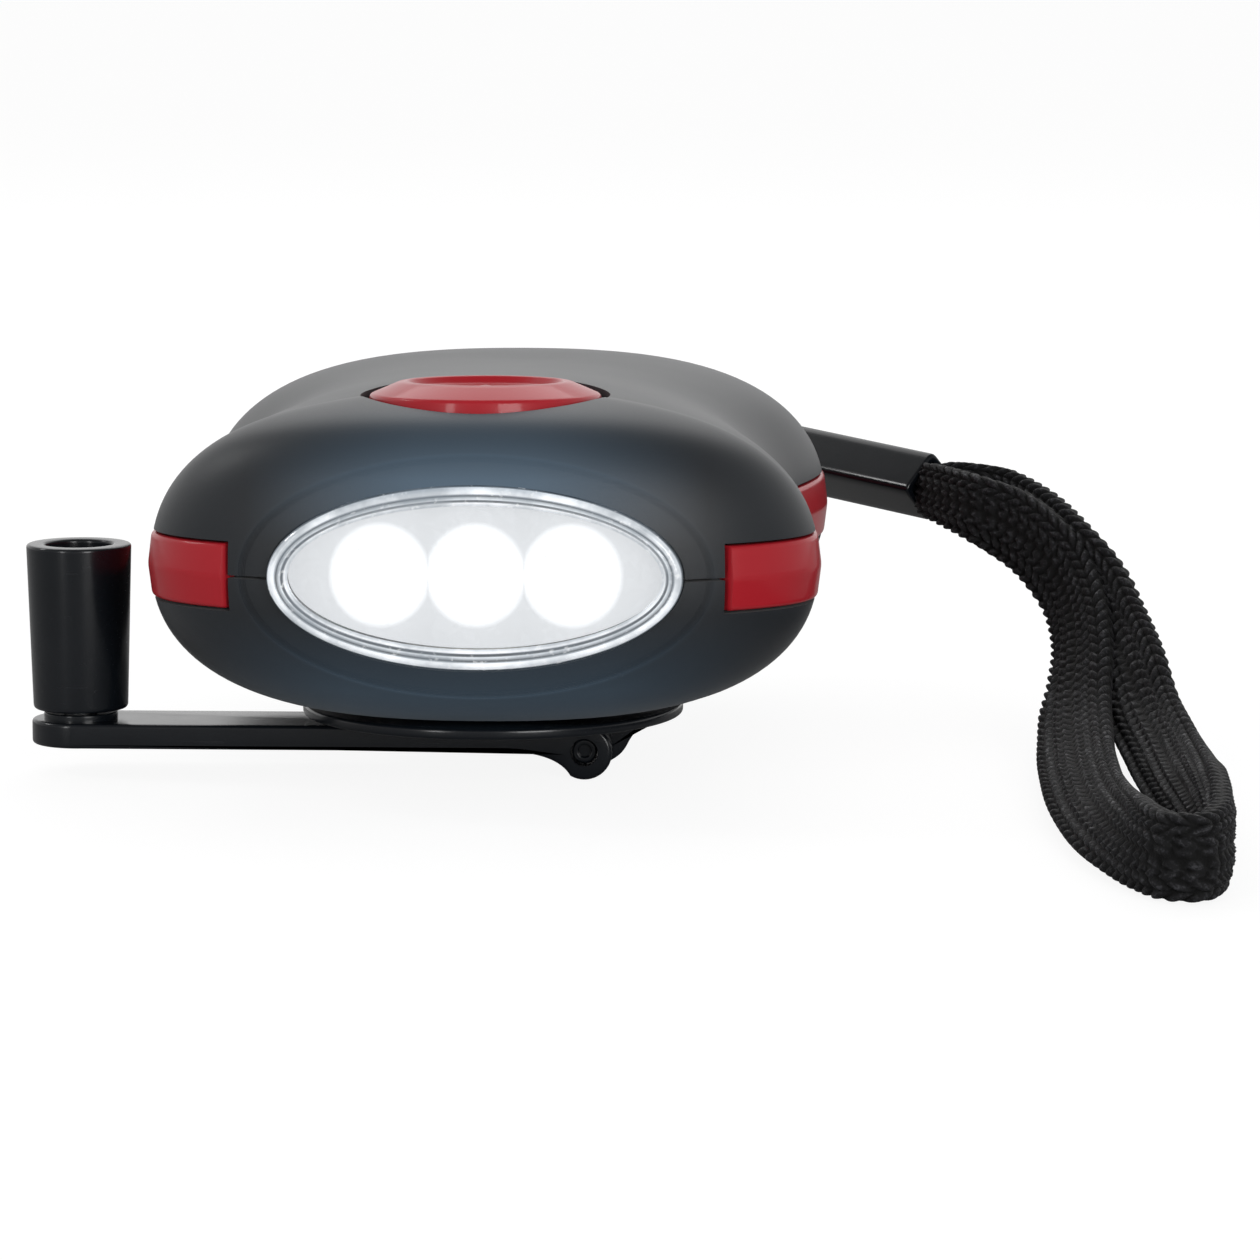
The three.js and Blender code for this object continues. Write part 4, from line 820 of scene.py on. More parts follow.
def swell_at(x, y):
    """How far the roof rises: the product of a squared cosine along y, longer behind the button
    than ahead of it, and one across x."""
    size = chosen("housing")
    behind = y + size.button_ahead - SWELL_BACK
    reach = np.where(behind < 0, SWELL_AHEAD, SWELL_BEHIND)
    along = np.cos(np.pi / 2 * np.clip(behind / reach, -1, 1)) ** 2
    return size.swell * along * np.cos(np.pi / 2 * np.clip(x / SWELL_ACROSS, -1, 1)) ** 2


def crown(name, inset, tail_inset, height, nose_power, direction, levels=34, start=None):
    """Half of the housing: at angle t the plan is drawn in to the share cos(t)^(2/c) and stands
    at height sin(t)^(2/f), where c fades from the nose's power to the sides'. The upper half's
    height has the roof's swell added."""
    size = chosen("housing")
    plan = outline(inset, tail_inset)
    turn = np.linspace(0, np.pi / 2, levels)
    # Just short of upright, so that the last ring keeps its width
    turn[-1] = math.radians(89.6)
    ahead = np.clip((-size.front_lobe - plan[:, 1]) / (size.nose - inset), 0, 1)
    power = CROWN_POWER + (nose_power - CROWN_POWER) * ahead
    share = np.cos(turn)[:, None] ** (2 / power)[None]
    rise = np.sin(turn) ** (2 / FLANK_POWER)
    ridge = np.clip(plan[:, 1], -size.front_lobe, size.rear_lobe)
    x = plan[:, 0] * share
    y = ridge + (plan[:, 1] - ridge) * share
    tall = height + (swell_at(x, y) if direction > 0 else np.zeros_like(y))
    z = size.seam_height + direction * tall * rise[:, None]
    rings = np.stack([x, y, z], -1)
    if start is not None:
        foot = np.column_stack([plan, np.full(len(plan), start)])
        rings = np.concatenate([foot[None], rings])
    return loft(name, rings, "strips")


def skin_field(points):
    """share^c + (|z - seam| / height)^f - 1, which is zero on the housing's skin."""
    size = chosen("housing")
    x, y, z = points.T
    ridge = np.clip(y, -size.front_lobe, size.rear_lobe)
    across = np.abs(x) / half_width_at(ridge, 0.0)
    before = y < -size.front_lobe
    along = np.abs(y - ridge) / np.where(before, size.nose, size.tail)
    share = (across ** PLAN_POWER + along ** PLAN_POWER) ** (1 / PLAN_POWER)
    ahead = np.where(before, along / np.maximum(share, 1e-9), 0.0)
    above = z > size.seam_height
    power = CROWN_POWER + np.where(above, NOSE_CROWN_POWER - CROWN_POWER, 0.0) * ahead
    height = np.where(above, size.upper_height + swell_at(x, y), size.lower_height)
    return share ** power + (np.abs(z - size.seam_height) / height) ** FLANK_POWER - 1


def ovals(name, levels, steps=144):
    """Stack of upright ovals across the line of sight, drawn in by each level's inset, which
    the points also carry in millimetres."""
    size = chosen("housing")
    levels = np.array(levels, float)
    angle = np.arange(steps) / steps * 2 * np.pi
    x = (size.lens_half_width - levels[:, :1]) * np.cos(angle)
    middle = size.seam_height + size.lens_raise
    z = middle + (size.lens_half_height - levels[:, :1]) * np.sin(angle)
    y = np.broadcast_to(levels[:, 1:], x.shape)
    mesh = loft(name, np.stack([x, y, z], -1))
    insets = np.concatenate([np.repeat(levels[:, 0], steps), levels[[0, -1], 0]])
    carry(mesh, "inset", insets / MM)
    return mesh


def band_path(side, start_x, end_x, steps=220):
    """Places and outward directions along the plan from the nose to the tail, evenly spaced."""
    plan = outline(0.0, detail=(160, 120, 160))
    half = plan[: len(plan) // 2 + 1]
    first = np.argmax(half[:, 0] > start_x)
    last = len(half) - 1 - np.argmax(half[::-1, 0] > end_x)
    part = half[first:last + 1]
    travelled = travelled_along(part)
    even = np.linspace(0, travelled[-1], steps)
    path = np.stack([np.interp(even, travelled, part[:, k]) for k in range(2)], -1)
    along = unit(np.gradient(path, axis=0))
    outward = np.stack([along[:, 1], -along[:, 0]], -1)
    return path * [side, 1], outward * [side, 1], even


def band_strip(name, side, section, start_x, end_x, end_round=0.0):
    """A closed section of (outward, height) points carried along the plan. Near its ends the
    outer side dips by r - sqrt(r^2 - (r - d)^2), a quarter round."""
    size = chosen("housing")
    path, outward, even = band_path(side, start_x, end_x)
    from_end = np.minimum(even, even[-1] - even)
    dip = np.zeros(len(even))
    if end_round > 0:
        inside = np.clip(end_round - from_end, 0, end_round)
        dip = end_round - np.sqrt(end_round ** 2 - inside ** 2)
    # The band's foot lies deeper than 0.8 mm and keeps its place
    lift = section[None, :, 0] - np.where(section[None, :, 0] > -0.8 * MM, dip[:, None], 0.0)
    flat = path[:, None] + outward[:, None] * lift[..., None]
    z = np.broadcast_to(size.seam_height + section[None, :, 1:], flat.shape[:2] + (1,))
    return loft(name, np.concatenate([flat, z], -1))


def recess_section():
    """Section of the band's recess: a plain box that reaches out past the skin."""
    size = chosen("housing")
    half = size.band_half_height + 0.22 * MM
    return np.array([[-1.8 * MM, -half], [6 * MM, -half], [6 * MM, half], [-1.8 * MM, half]])


def lamp_cutters(height, nose_power, direction):
    """A shallow oval recess that follows the skin and deepens in five steps finer than a line,
    the lens's seat and the throat behind it."""
    seam = chosen("housing").seam_height
    cutters = []
    for step in range(RECESS_STEPS):
        depth, spread = (step + 1) * RECESS_STEP, (RECESS_SPREAD - RECESS_LESS * step) * MM
        recess = ovals("recess", [(-spread, LENS_FRONT - TALL), (-spread, LENS_FRONT + 8 * MM)])
        floor = crown("recess_floor", depth, depth, height - depth, nose_power, direction, 30,
                      seam - direction * TALL)
        cutters.append(combined(recess, [floor]))
    for name, inset, start, depth in (("seat", -0.10 * MM, -TALL, SEAT_DEPTH),
                                      ("throat", THROAT_INSET, 0, THROAT_DEPTH)):
        cutters.append(ovals(name, [(inset, LENS_FRONT + start), (inset, LENS_FRONT + depth)]))
    return cutters


def shared_cutters():
    """Band recesses, the strap's notch in the tail and the anchor pin's bore."""
    size = chosen("housing")
    tail = size.rear_lobe + size.tail
    seam = size.seam_height
    recesses = [band_strip("recess", side, recess_section(), size.band_front - 0.25 * MM, 2 * MM)
                for side in (-1, 1)]
    notch = box_mesh("notch", (-4 * MM, tail - 5.8 * MM, seam - 3.5 * MM),
                     (4 * MM, tail + TALL, seam + 3.5 * MM))
    reach, place = 5.3 * MM, (0, tail - ANCHOR_INSET, 0)
    return [*recesses, notch, cylinder("pin_bore", 1 * MM, seam - reach, seam + reach, place, 32)]


def build_shell(node, direction, height, nose_power, rubber, own_cuts, posts=()):
    """One half of the housing: a crown less its cavity, its own cuts, those that both halves
    share, and all that lies beyond the seam. Posts stay standing in the cavity."""
    size = chosen("housing")
    seam, gap = size.seam_height, size.seam_gap / 2
    outer = crown(node, 0.0, 0.0, height, nose_power, direction, start=seam - direction * gap)
    cavity = crown("cavity", CAVITY_INSET, CAVITY_TAIL_INSET, height - size.wall, nose_power,
                   direction, 14, seam - direction * TALL)
    if posts:
        cavity = combined(cavity, posts)
    # A block wider and longer than the housing
    low, high = sorted((seam + direction * gap, seam - direction * 2 * TALL))
    beyond = box_mesh("beyond", (-60 * MM, -60 * MM, low), (60 * MM, 90 * MM, high))
    mesh = combined(outer, [cavity, *own_cuts, *lamp_cutters(height, nose_power, direction),
                            *shared_cutters(), beyond])
    finished(node + "_skin", mesh, "housing", [node], rubber, 30, skin_field)


def build_upper_shell(rubber):
    """Roof with the button's well, which opens with a soft lip."""
    size = chosen("housing")
    roof = size.seam_height + size.upper_height
    foot, lip, top = size.seam_height + 6 * MM, roof + size.swell - 0.3 * MM, roof + TALL
    well = size.button_radius + 0.62 * MM
    flare = turned("button_well", [
        (0, foot, 0), (well, foot, 0), (well, lip, 0.5 * MM),
        (well + 0.4 * MM, lip + 0.25 * MM, 0.3 * MM), (well + 3 * MM, lip + 0.6 * MM, 0),
        (well + 3 * MM, top, 0), (0, top, 0)], (0, -size.button_ahead, 0), 128)
    build_shell("upper_shell", 1, size.upper_height, NOSE_CROWN_POWER, rubber, [flare])


def build_lower_shell(rubber):
    """Floor with the crank's bore, and a post and a well for each case screw."""
    size = chosen("housing")
    seam, floor = size.seam_height, size.seam_height - size.lower_height
    wells, posts = [], []
    for node, (x, y) in CASE_SCREWS.items():
        seat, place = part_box(node)[0].z + 1.7 * MM, (x, y, 0)
        posts.append(cylinder(
            "screw_post", 3 * MM, seat - 2.6 * MM, seam - size.seam_gap / 2, place, 40))
        wells.append(cylinder("screw_well", 2.6 * MM, floor - TALL, seat + 0.1 * MM, place, 40))
        wells.append(cylinder("screw_bore", 1.3 * MM, floor, seam + 1 * MM, place, 24))
    bore = cylinder("hub_bore", 3.12 * MM, floor - TALL, floor + 6 * MM, steps=64)
    build_shell("lower_shell", -1, size.lower_height, CROWN_POWER, rubber, [*wells, bore], posts)


def build_bands(red):
    """Each band is creased at half height and has rounded edges and ends."""
    size = chosen("housing")
    half, inner = size.band_half_height, -1.5 * MM
    outer = rounded([(inner, -half, 0), (-0.1 * MM, -half, 0.5 * MM), (0.26 * MM, 0, 0.35 * MM),
                     (-0.1 * MM, half, 0.5 * MM), (inner, half, 0)], 8)
    for side, node in ((-1, "side_band_left"), (1, "side_band_right")):
        mesh = band_strip(node, side, outer, size.band_front, 4.3 * MM, 0.7 * MM)
        finished(node + "_skin", mesh, "housing", [node], red, 40)


# Lamp

def build_lens(window, rim):
    """Oval lens: a raised rounded rim, a step down, and a slightly crowned window."""
    size = chosen("housing")
    edge = 1.9 * MM
    levels = rounded([(0.05 * MM, LENS_BACK, 0), *raised(LENS_FRONT, [
        (0, 0.45, 0.3), (0.45, 0, 0.35), (0.85, 0.05, 0.1), (0.95, 0.3, 0.1), (1.25, 0.15, 0.15),
        (1.6, 0.55, 0.15), (1.9, 0.75, 0.15), (4, 0.52, 1), (7.3, 0.42, 0)])], 5)
    mesh = ovals("lens", levels, 192)
    finished("lens_skin", mesh, "housing", ["lens"], [window, rim], 35)
    centres = read(mesh.polygons, "center") - ORIGIN
    across = centres[:, 0] / (size.lens_half_width - edge)
    upward = (centres[:, 2] - size.seam_height - size.lens_raise) / (size.lens_half_height - edge)
    outside = np.hypot(across, upward) > 1.0
    mesh.polygons.foreach_set("material_index", outside.astype(np.int32))


def build_reflector(silver):
    """Oval block with a bowl for each lamp: its wall falls as a quarter oval from the wide mouth
    to the narrow floor."""
    size = chosen("housing")
    mouth, floor, deep = 4.15 * MM, 2.8 * MM, 3.9 * MM
    block = ovals("reflector", [
        (1.7 * MM, REFLECTOR_BACK), (1.7 * MM, REFLECTOR_FACE + 0.2 * MM),
        (1.85 * MM, REFLECTOR_FACE)])
    wall = [(mouth * np.cos(a) + floor * (1 - np.cos(a)), -deep * np.sin(a), 0)
            for a in np.linspace(0, np.pi / 2, 9)]
    corners = [(0, 5 * MM, 0), (mouth, 5 * MM, 0), *wall, (floor, -9 * MM, 0), (0, -9 * MM, 0)]
    bowls = [moved(laid_along_y(turned("bowl", corners, steps=72)), offset * size.lamp_pitch,
                   REFLECTOR_FACE, size.seam_height + size.lens_raise) for offset in (-1, 0, 1)]
    finished("reflector_skin", combined(block, bowls), "housing", ["reflector"],
             silver, 30)


def build_lamps(glow):
    """Three round lamps: a flange at the foot, a straight side and a half-round dome."""
    size = chosen("housing")
    radius, side = 2.5 * MM, 2.9 * MM
    dome = [(radius * np.cos(a), side + radius * np.sin(a), 0)
            for a in np.linspace(0, np.pi / 2, 12)[:-1]]
    corners = [(0, 0, 0), (2.76 * MM, 0, 0), (2.76 * MM, 1 * MM, 0.1 * MM), (radius, 1.1 * MM, 0),
               *dome, (0, 5.4 * MM, 0)]
    for offset, node in ((-1, "led_left"), (0, "led_centre"), (1, "led_right")):
        mesh = moved(laid_along_y(turned(node, corners, steps=48)), offset * size.lamp_pitch,
                     LAMP_FOOT, size.seam_height + size.lens_raise)
        finished(node + "_dome", mesh, "housing", [node], glow, 40)


# Button

# How much the button's top falls for each unit of length to the rear, and as a whole
BUTTON_LEAN, BUTTON_DROP = 0.03, 0.24 * MM


def build_button(red):
    """Turned cap: rounded shoulder, cone, rolled lip, shallow dish and a nub in the middle. Its
    top leans back a little: z falls by 0.03 for each unit of y behind the middle."""
    size = chosen("housing")
    top = size.seam_height + size.upper_height + size.button_rise
    shoulder, radius = top - 1.2 * MM, size.button_radius
    foot, wall, under = shoulder - 5 * MM, radius - 1.6 * MM, top - 2.2 * MM
    mesh = turned("power_button", [
        *raised(foot, [(0, 0.2, 0), (2.6, 0.2, 0)]), (2.6 * MM, under, 0),
        (wall, under, 0), (wall, foot, 0), (radius, foot, 0.2 * MM),
        (radius, shoulder - 1.7 * MM, 0.5 * MM), (radius - 0.22 * MM, shoulder, 0.3 * MM),
        *raised(top, [(7.75, -0.08, 0.35), (7.2, 0, 0.2), (6.95, -0.06, 0.12), (6.45, -0.72, 0.3),
                      (3.6, -1, 1.4), (1.7, -1.05, 0.5), (0.9, -0.55, 0.5), (0, -0.4, 0)])],
        (0, -size.button_ahead, 0), 160)
    points = points_of(mesh)
    behind = points[:, 1] - ORIGIN[1] + size.button_ahead
    points[:, 2] += -BUTTON_DROP - BUTTON_LEAN * behind
    finished("power_button_cap", put_points(mesh, points), "button", ["power_button"],
             red, 45)


# Crank

# Radius of the hinge pin's bore, and height of the knob's lower end
HINGE_BORE, KNOB_FOOT = 1.27 * MM, 5.75 * MM


def hinge_bore():
    """A cutter for the hinge pin, across the crank."""
    size = chosen("crank")
    bore = laid_along_y(cylinder("hinge_bore", HINGE_BORE, -TALL, TALL, steps=48))
    return moved(bore, size.hinge_offset, 0, size.hinge_radius)


def build_hub(black):
    """Thin disc with rounded rims, its shaft, and the hinge knuckle with a gusset under it."""
    size = chosen("crank")
    low, high, rim = 5.6 * MM, 6.7 * MM, size.disc_radius
    disc = turned("crank_disc", [
        (0, low, 0), (rim - 1.6 * MM, low, 0.4 * MM), (rim, low + 0.12 * MM, 0.35 * MM),
        (rim, high, 0.35 * MM), (3 * MM, high, 0), *raised(0, [(3, 14.2, 0.2), (0, 14.2, 0)])],
        steps=144)
    x, z, r = size.hinge_offset, size.hinge_radius, 2.4 * MM
    heel = np.linspace(-np.pi / 5, -np.pi, 26)
    arc = np.stack([x + r * np.cos(heel), z + r * np.sin(heel)], -1)
    slope = rounded([
        (x + 8.2 * MM, low + 0.5 * MM, 0), (x + 8.2 * MM, low, 0.2 * MM),
        (x + 4.6 * MM, low - 1.25 * MM, 1.6 * MM), (x + 3.4 * MM, z - 0.5 * MM, 1.2 * MM),
        (arc[0, 0], arc[0, 1], 0)], 6)
    profile = np.concatenate([slope[:-1], arc, [[x - r, low + 0.5 * MM]]])
    knuckle = prism_y("knuckle", profile, 1.8 * MM, 0.25 * MM)
    screw_bore = cylinder("screw_bore", 1.3 * MM, 9 * MM, 15 * MM, steps=24)
    mesh = combined(disc, [hinge_bore(), screw_bore], [knuckle])
    finished("crank_hub_skin", mesh, "crank", ["crank_hub"], black, 32)
    corners = raised(0, [
        (0, -3.1, 0), (0.55, -3.1, 0), (0.62, -3.6, 0.1), (1.15, -3.6, 0.25),
        (1.15, 3.6, 0.25), (0.62, 3.6, 0.1), (0.55, 3.1, 0), (0, 3.1, 0)])
    pin = moved(laid_along_y(turned("hinge_pin", corners, steps=48)), x, 0, z)
    finished("hinge_pin_turned", pin, "crank", ["hinge_pin"], black, 40)


def build_arm(black):
    """Side view of bar and ears carried across the arm's width, with a turned end and boss."""
    size = chosen("crank")
    x, z, r = size.hinge_offset, size.hinge_radius, size.hinge_radius
    low, high, edge = z, z + size.arm_thickness, 0.38 * MM
    tangent = x - r - 5 * MM
    bend = np.linspace(0, 1, 14)[:, None]
    start, middle = np.array([tangent, low]), np.array([x - r, low])
    end = np.array([x - r / 2, z - r * math.sin(math.pi / 3)])
    fillet = (1 - bend) ** 2 * start + 2 * bend * (1 - bend) * middle + bend ** 2 * end
    turn = np.linspace(-2 * np.pi / 3, np.pi / 2, 44)[1:]
    ear = np.stack([x + r * np.cos(turn), z + r * np.sin(turn)], -1)
    back = -size.crank_radius - 0.4 * MM
    side = np.concatenate([[[back, low]], fillet, ear, [[tangent, high], [back, high]]])
    half_width = size.arm_width / 2
    bar = prism_y("arm", side, half_width, edge, 6)
    centre = (-size.crank_radius, 0, 0)
    cap = turned("arm_end", [
        (0, low, 0), (half_width, low, edge), (half_width, high, edge), (0, high, 0)], centre, 96)
    radius, top = 3.4 * MM, high + 0.6 * MM
    boss = turned("arm_boss", [
        (0, low + edge, 0), (radius, low + edge, 0), (radius, top, 0.15 * MM), (0, top, 0)],
        centre, 72)
    slot = box_mesh("slot", (x - 4.9 * MM, -2.1 * MM, low - TALL),
                    (x + TALL, 2.1 * MM, high + TALL))
    bore = cylinder("bore", 1.6 * MM, low - 1 * MM, high + 2 * MM, centre, 40)
    mesh = combined(bar, [slot, hinge_bore(), bore], [cap, boss])
    finished("crank_arm_skin", mesh, "arm", ["crank_arm"], black, 32)


def build_knob(black):
    """Tapered tube, open at the top, with rolled edges and a floor that its screw holds."""
    size = chosen("crank")
    foot, bore, r = KNOB_FOOT, 1.6 * MM, size.knob_radius
    top, floor = foot + size.knob_height, foot + 2.4 * MM
    mesh = turned("crank_knob", [
        (bore, foot, 0), (r - 0.48 * MM, foot, 0.45 * MM), (r, top, 0.35 * MM),
        (3.1 * MM, top, 0.35 * MM), (2.9 * MM, floor, 0.2 * MM), (bore, floor, 0),
        (bore, foot, 0)], (-size.crank_radius, 0, 0), 128)
    finished("crank_knob_skin", mesh, "knob", ["crank_knob"], black, 40)


# Screws and pins

def cross(centre, face, width, depth, upward):
    """Two crossed bars that cut a driver's recess into a screw head."""
    reach = depth * (-1 if upward else 1)
    low, high = sorted((face + reach, face - 3 * reach))
    x, y = centre
    return [box_mesh("cross", (x - a, y - b, low), (x + a, y + b, high))
            for a, b in ((width, width * 0.26), (width * 0.26, width))]


def build_screws(steel):
    """Four case screws with their heads down, the knob's screw with its head up, and the pin
    that the strap's loop goes round."""
    for node, (x, y) in CASE_SCREWS.items():
        low, high = (corner.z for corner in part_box(node))
        mesh = turned(node, [
            *raised(low, [(0, 0, 0), (1.75, 0, 0.5), (2.3, 0.85, 0.3), (2.3, 1.7, 0.05),
                          (1.1, 1.7, 0)]),
            *raised(high, [(1.1, 0, 0.2), (0, 0, 0)])], (x, y, 0), 48)
        mesh = combined(mesh, cross((x, y), low, 1.35 * MM, 0.9 * MM, False))
        finished(node + "_turned", mesh, "housing", [node], steel, 30)
    x = -chosen("crank").crank_radius
    low, high = (corner.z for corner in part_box("knob_screw"))
    mesh = turned("knob_screw", [*raised(low, [(0, 0.05, 0), (1.4, 0.05, 0.2)]), *raised(high, [
        (1.4, -1.3, 0), (2.5, -1.3, 0.1), (2.5, -0.5, 0.3), (1.9, 0, 0.4), (0, 0, 0)])],
        (x, 0, 0), 48)
    mesh = combined(mesh, cross((x, 0), high, 1.4 * MM, 0.8 * MM, True))
    finished("knob_screw_turned", mesh, "arm", ["knob_screw"], steel, 30)
    low, high = (corner.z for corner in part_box("strap_anchor_pin"))
    housing, radius = chosen("housing"), 0.8 * MM
    mesh = turned("anchor_pin", [
        (0, low, 0), (radius, low, 0.2 * MM), (radius, high, 0.2 * MM), (0, high, 0)],
        (0, housing.rear_lobe + housing.tail - ANCHOR_INSET, 0), 40)
    finished("strap_anchor_pin_turned", mesh, "housing", ["strap_anchor_pin"], steel, 40)


# Strap

# Middle line of the strap in millimetres from the crank's axis, the lean of its width in
# degrees and the share of its full width
STRAP_ROUTE = (
    (40.3, 48.0, 21.0, 84, 0.72), (45.0, 40.0, 20.0, 80, 0.9), (48.4, 38.0, 18.6, 76, 1),
    (51.4, 34.8, 16.6, 70, 1), (53.8, 31.3, 13.8, 62, 1), (54.9, 26.3, 10.6, 52, 1),
    (54.8, 20.3, 7.3, 38, 1), (54.0, 12.2, 4.4, 27, 1), (53.5, -1.9, 2.8, 21, 1),
    (53.4, -20.0, 2.7, 23, 1), (54.1, -36.5, 3.0, 36, 1), (55.6, -50.0, 3.6, 62, 1),
    (57.1, -57.8, 3.8, 82, 1), (58.9, -61.9, 3.85, 90, 1), (61.1, -62.2, 3.85, 90, 1),
    (62.9, -58.0, 3.85, 90, 1), (63.4, -49.6, 3.8, 95, 1), (63.0, -36.5, 3.6, 112, 1),
    (62.2, -20.0, 2.9, 138, 1), (61.4, -2.2, 2.9, 153, 1), (60.2, 10.0, 4.6, 152, 1),
    (59.4, 17.3, 7.5, 142, 1), (58.2, 23.9, 10.2, 130, 1), (56.9, 28.8, 13.0, 120, 1),
    (54.3, 33.6, 15.9, 112, 1), (51.3, 41.0, 18.2, 104, 1), (47.6, 47.4, 19.8, 100, 0.95),
    (44.2, 48.6, 20.7, 97, 0.8), (42.4, 49.7, 20.9, 96, 0.72))
LOOP_ROUTE = (
    (21.54, 69.98, 23.66), (18.6, 71.9, 23.4), (13.2, 70.9, 22.9), (7.0, 67.0, 22.3),
    (1.9, 63.2, 21.9), (1.3, 61.3, 21.6), (0, 60.75, 20.9), (-1.3, 61.3, 20.2),
    (-1.9, 62.7, 19.95), (-0.6, 64.6, 19.9), (2.6, 65.6, 19.9), (7.2, 67.3, 20.3),
    (13.2, 70.9, 21.1), (18.6, 71.9, 21.8), (21.54, 69.98, 22.04))
SLEEVE_NEAR = np.array([40.8, 49.3, 21.0]) * MM
SLEEVE_TOWARDS = np.array([0.68, -0.73, -0.064])


def in_metres(route):
    """A route with its places in metres and its other numbers as they are."""
    scale = np.array([MM, MM, MM] + [1.0] * (len(route[0]) - 3))
    return np.array(route, float) * scale


def squared(values, power):
    """A wave's values brought nearer to 1 or -1: |v|^power with the sign of v."""
    return np.sign(values) * np.abs(values) ** power


def build_strap(yarn):
    """Flat braid. Round the section, at angle a, the surface lies at (w cos a, t sin a) with
    squared shoulders. Each rib across the width is two columns of strands that slant to a
    point: a strand's crest follows |sin(pi p)|, where p is the count of stitches along the
    length plus 0.8 times the distance from the rib's middle."""
    size = chosen("strap")
    route = in_metres(STRAP_ROUTE)
    # Both ends lie side by side just inside the sleeve
    mouth_left = np.array([0.73, 0.68, 0.0]) * MM
    inside = SLEEVE_NEAR - SLEEVE_TOWARDS * 0.45 * MM
    start, end = inside - 0.8 * mouth_left, inside + 0.8 * mouth_left
    route = np.concatenate([[[*start, route[0, 3], 0.6]], route, [[*end, route[-1, 3], 0.6]]])
    count, around = 1240, 76
    path, (lean, share), total = smooth_path(route, count)
    left, up = sides_of(unit(np.gradient(path, axis=0)))
    lean = np.radians(lean)[:, None]
    broad = left * np.cos(lean) + up * np.sin(lean)
    thin = up * np.cos(lean) - left * np.sin(lean)
    angle = np.arange(around) / around * 2 * np.pi
    across, through = squared(np.cos(angle), 2 / 2.7), squared(np.sin(angle), 2 / 2.7)
    slack = (np.clip((8 * MM - path[:, 2]) / (5 * MM), 0, 1)
             * np.clip((path[:, 1] + 58 * MM) / (12 * MM), 0, 1))
    pitch = size.stitch + (size.slack_stitch - size.stitch) * slack
    stitches = np.concatenate([[0], np.cumsum(total / (count - 1) / pitch[1:])])[:, None]
    rib = (across[None] + 1) / 2 * size.ribs
    within = 2 * (rib - np.floor(np.minimum(rib, size.ribs - 1e-6))) - 1
    # Slow waves keep the stitches from lying too evenly
    far = np.linspace(0, total, count)[:, None]
    wave = (0.12 * np.sin(far / (7 * MM) + 2 * np.sign(through)[None])
            + 0.08 * np.sin(far / (2.7 * MM) + 5 * across[None]))
    phase = stitches + 0.8 * np.abs(within) + 0.37 * np.floor(rib) + wave
    phase = phase + np.where(through[None] < 0, 0.5, 0.0)
    crest = np.abs(np.sin(np.pi * phase)) ** 0.8
    column = np.sin(np.pi * np.clip(np.abs(within), 0, 1)) ** 0.5
    relief = crest * (0.25 + 0.75 * column)
    bulge = 0.5 + 0.5 * np.sin(far / (3.1 * MM) + 3 * np.floor(rib))
    lift = (0.62 * relief - 0.42 + 0.08 * bulge) * MM
    half_w = size.width / 2 * share[:, None]
    half_t = size.thickness / 2 * share[:, None] ** 0.6
    reach_w = half_w * across[None] + lift * np.cos(angle)[None] * 0.55
    reach_t = (half_t * through[None]
               + lift * np.sign(through)[None] * np.abs(np.sin(angle))[None] ** 0.4)
    rings = path[:, None] + broad[:, None] * reach_w[..., None] + thin[:, None] * reach_t[..., None]
    rings[..., 2] = np.maximum(rings[..., 2], 0.05 * MM)
    mesh = loft("strap", rings)
    # The finish reads the relief to paint shade in the hollows and highlights on the crests.
    carry(mesh, "relief", np.concatenate([np.clip(relief, 0, 1).ravel(), [0.2, 0.2]]))
    piece = finished("wrist_strap_braid", mesh, "housing", ["wrist_strap"], yarn, 80)


def build_loop(yarn):
    """Round cord along its route, with two twisted plies: its radius at angle a is the share
    0.92 + 0.08 cos(2a - twist) of the full one."""
    size = chosen("strap")
    count = 240
    path, _, total = smooth_path(in_metres(LOOP_ROUTE), count)
    left, up = sides_of(unit(np.gradient(path, axis=0)))
    angle = np.arange(16) / 16 * 2 * np.pi
    twist = np.linspace(0, total, count)[:, None] / (1.4 * MM) * 2 * np.pi
    ply = np.cos(2 * angle[None] - twist)
    radius = size.loop_diameter / 2 * (0.92 + 0.08 * ply)
    rings = (path[:, None] + left[:, None] * (radius * np.cos(angle))[..., None]
             + up[:, None] * (radius * np.sin(angle))[..., None])
    mesh = loft("loop", rings)
    # The finish reads this relief to paint shade between the plies.
    carry(mesh, "relief", np.concatenate([(ply / 2 + 0.5).ravel(), [0.2, 0.2]]))
    piece = finished("strap_loop_cord", mesh, "housing", ["strap_loop"], yarn, 70)


def build_sleeve(black):
    """Square tube on its edge: |a|^7.5 + |b|^7.5 = 1 turned by 45 degrees and carried along its
    line, with rolled ends and a shallow mouth at each."""
    size = chosen("strap")
    along = unit(SLEEVE_TOWARDS)
    left, up = sides_of(along)
    angle = np.arange(96) / 96 * 2 * np.pi
    a, b = squared(np.cos(angle), 2 / 7.5), squared(np.sin(angle), 2 / 7.5)
    half, full = size.sleeve_side / 2, size.sleeve_length
    mouth = [(0.55 * half, 0.7 * MM, 0), (0.74 * half, 0.6 * MM, 0.1 * MM),
             (0.74 * half, 0, 0.25 * MM), (half, 0, 0.35 * MM)]
    profile = rounded(mouth + [(r, full - height, bend) for r, height, bend in mouth[::-1]])
    turn = math.pi / 4
    across = a * math.cos(turn) - b * math.sin(turn)
    upward = a * math.sin(turn) + b * math.cos(turn)
    rings = (SLEEVE_NEAR - along * profile[:, 1][:, None, None]
             + left * (profile[:, :1] * across)[..., None]
             + up * (profile[:, :1] * upward)[..., None])
    mesh = loft("sleeve", rings)
    finished("strap_sleeve_tube", mesh, "housing", ["strap_sleeve"], black, 35)


# Inner pieces

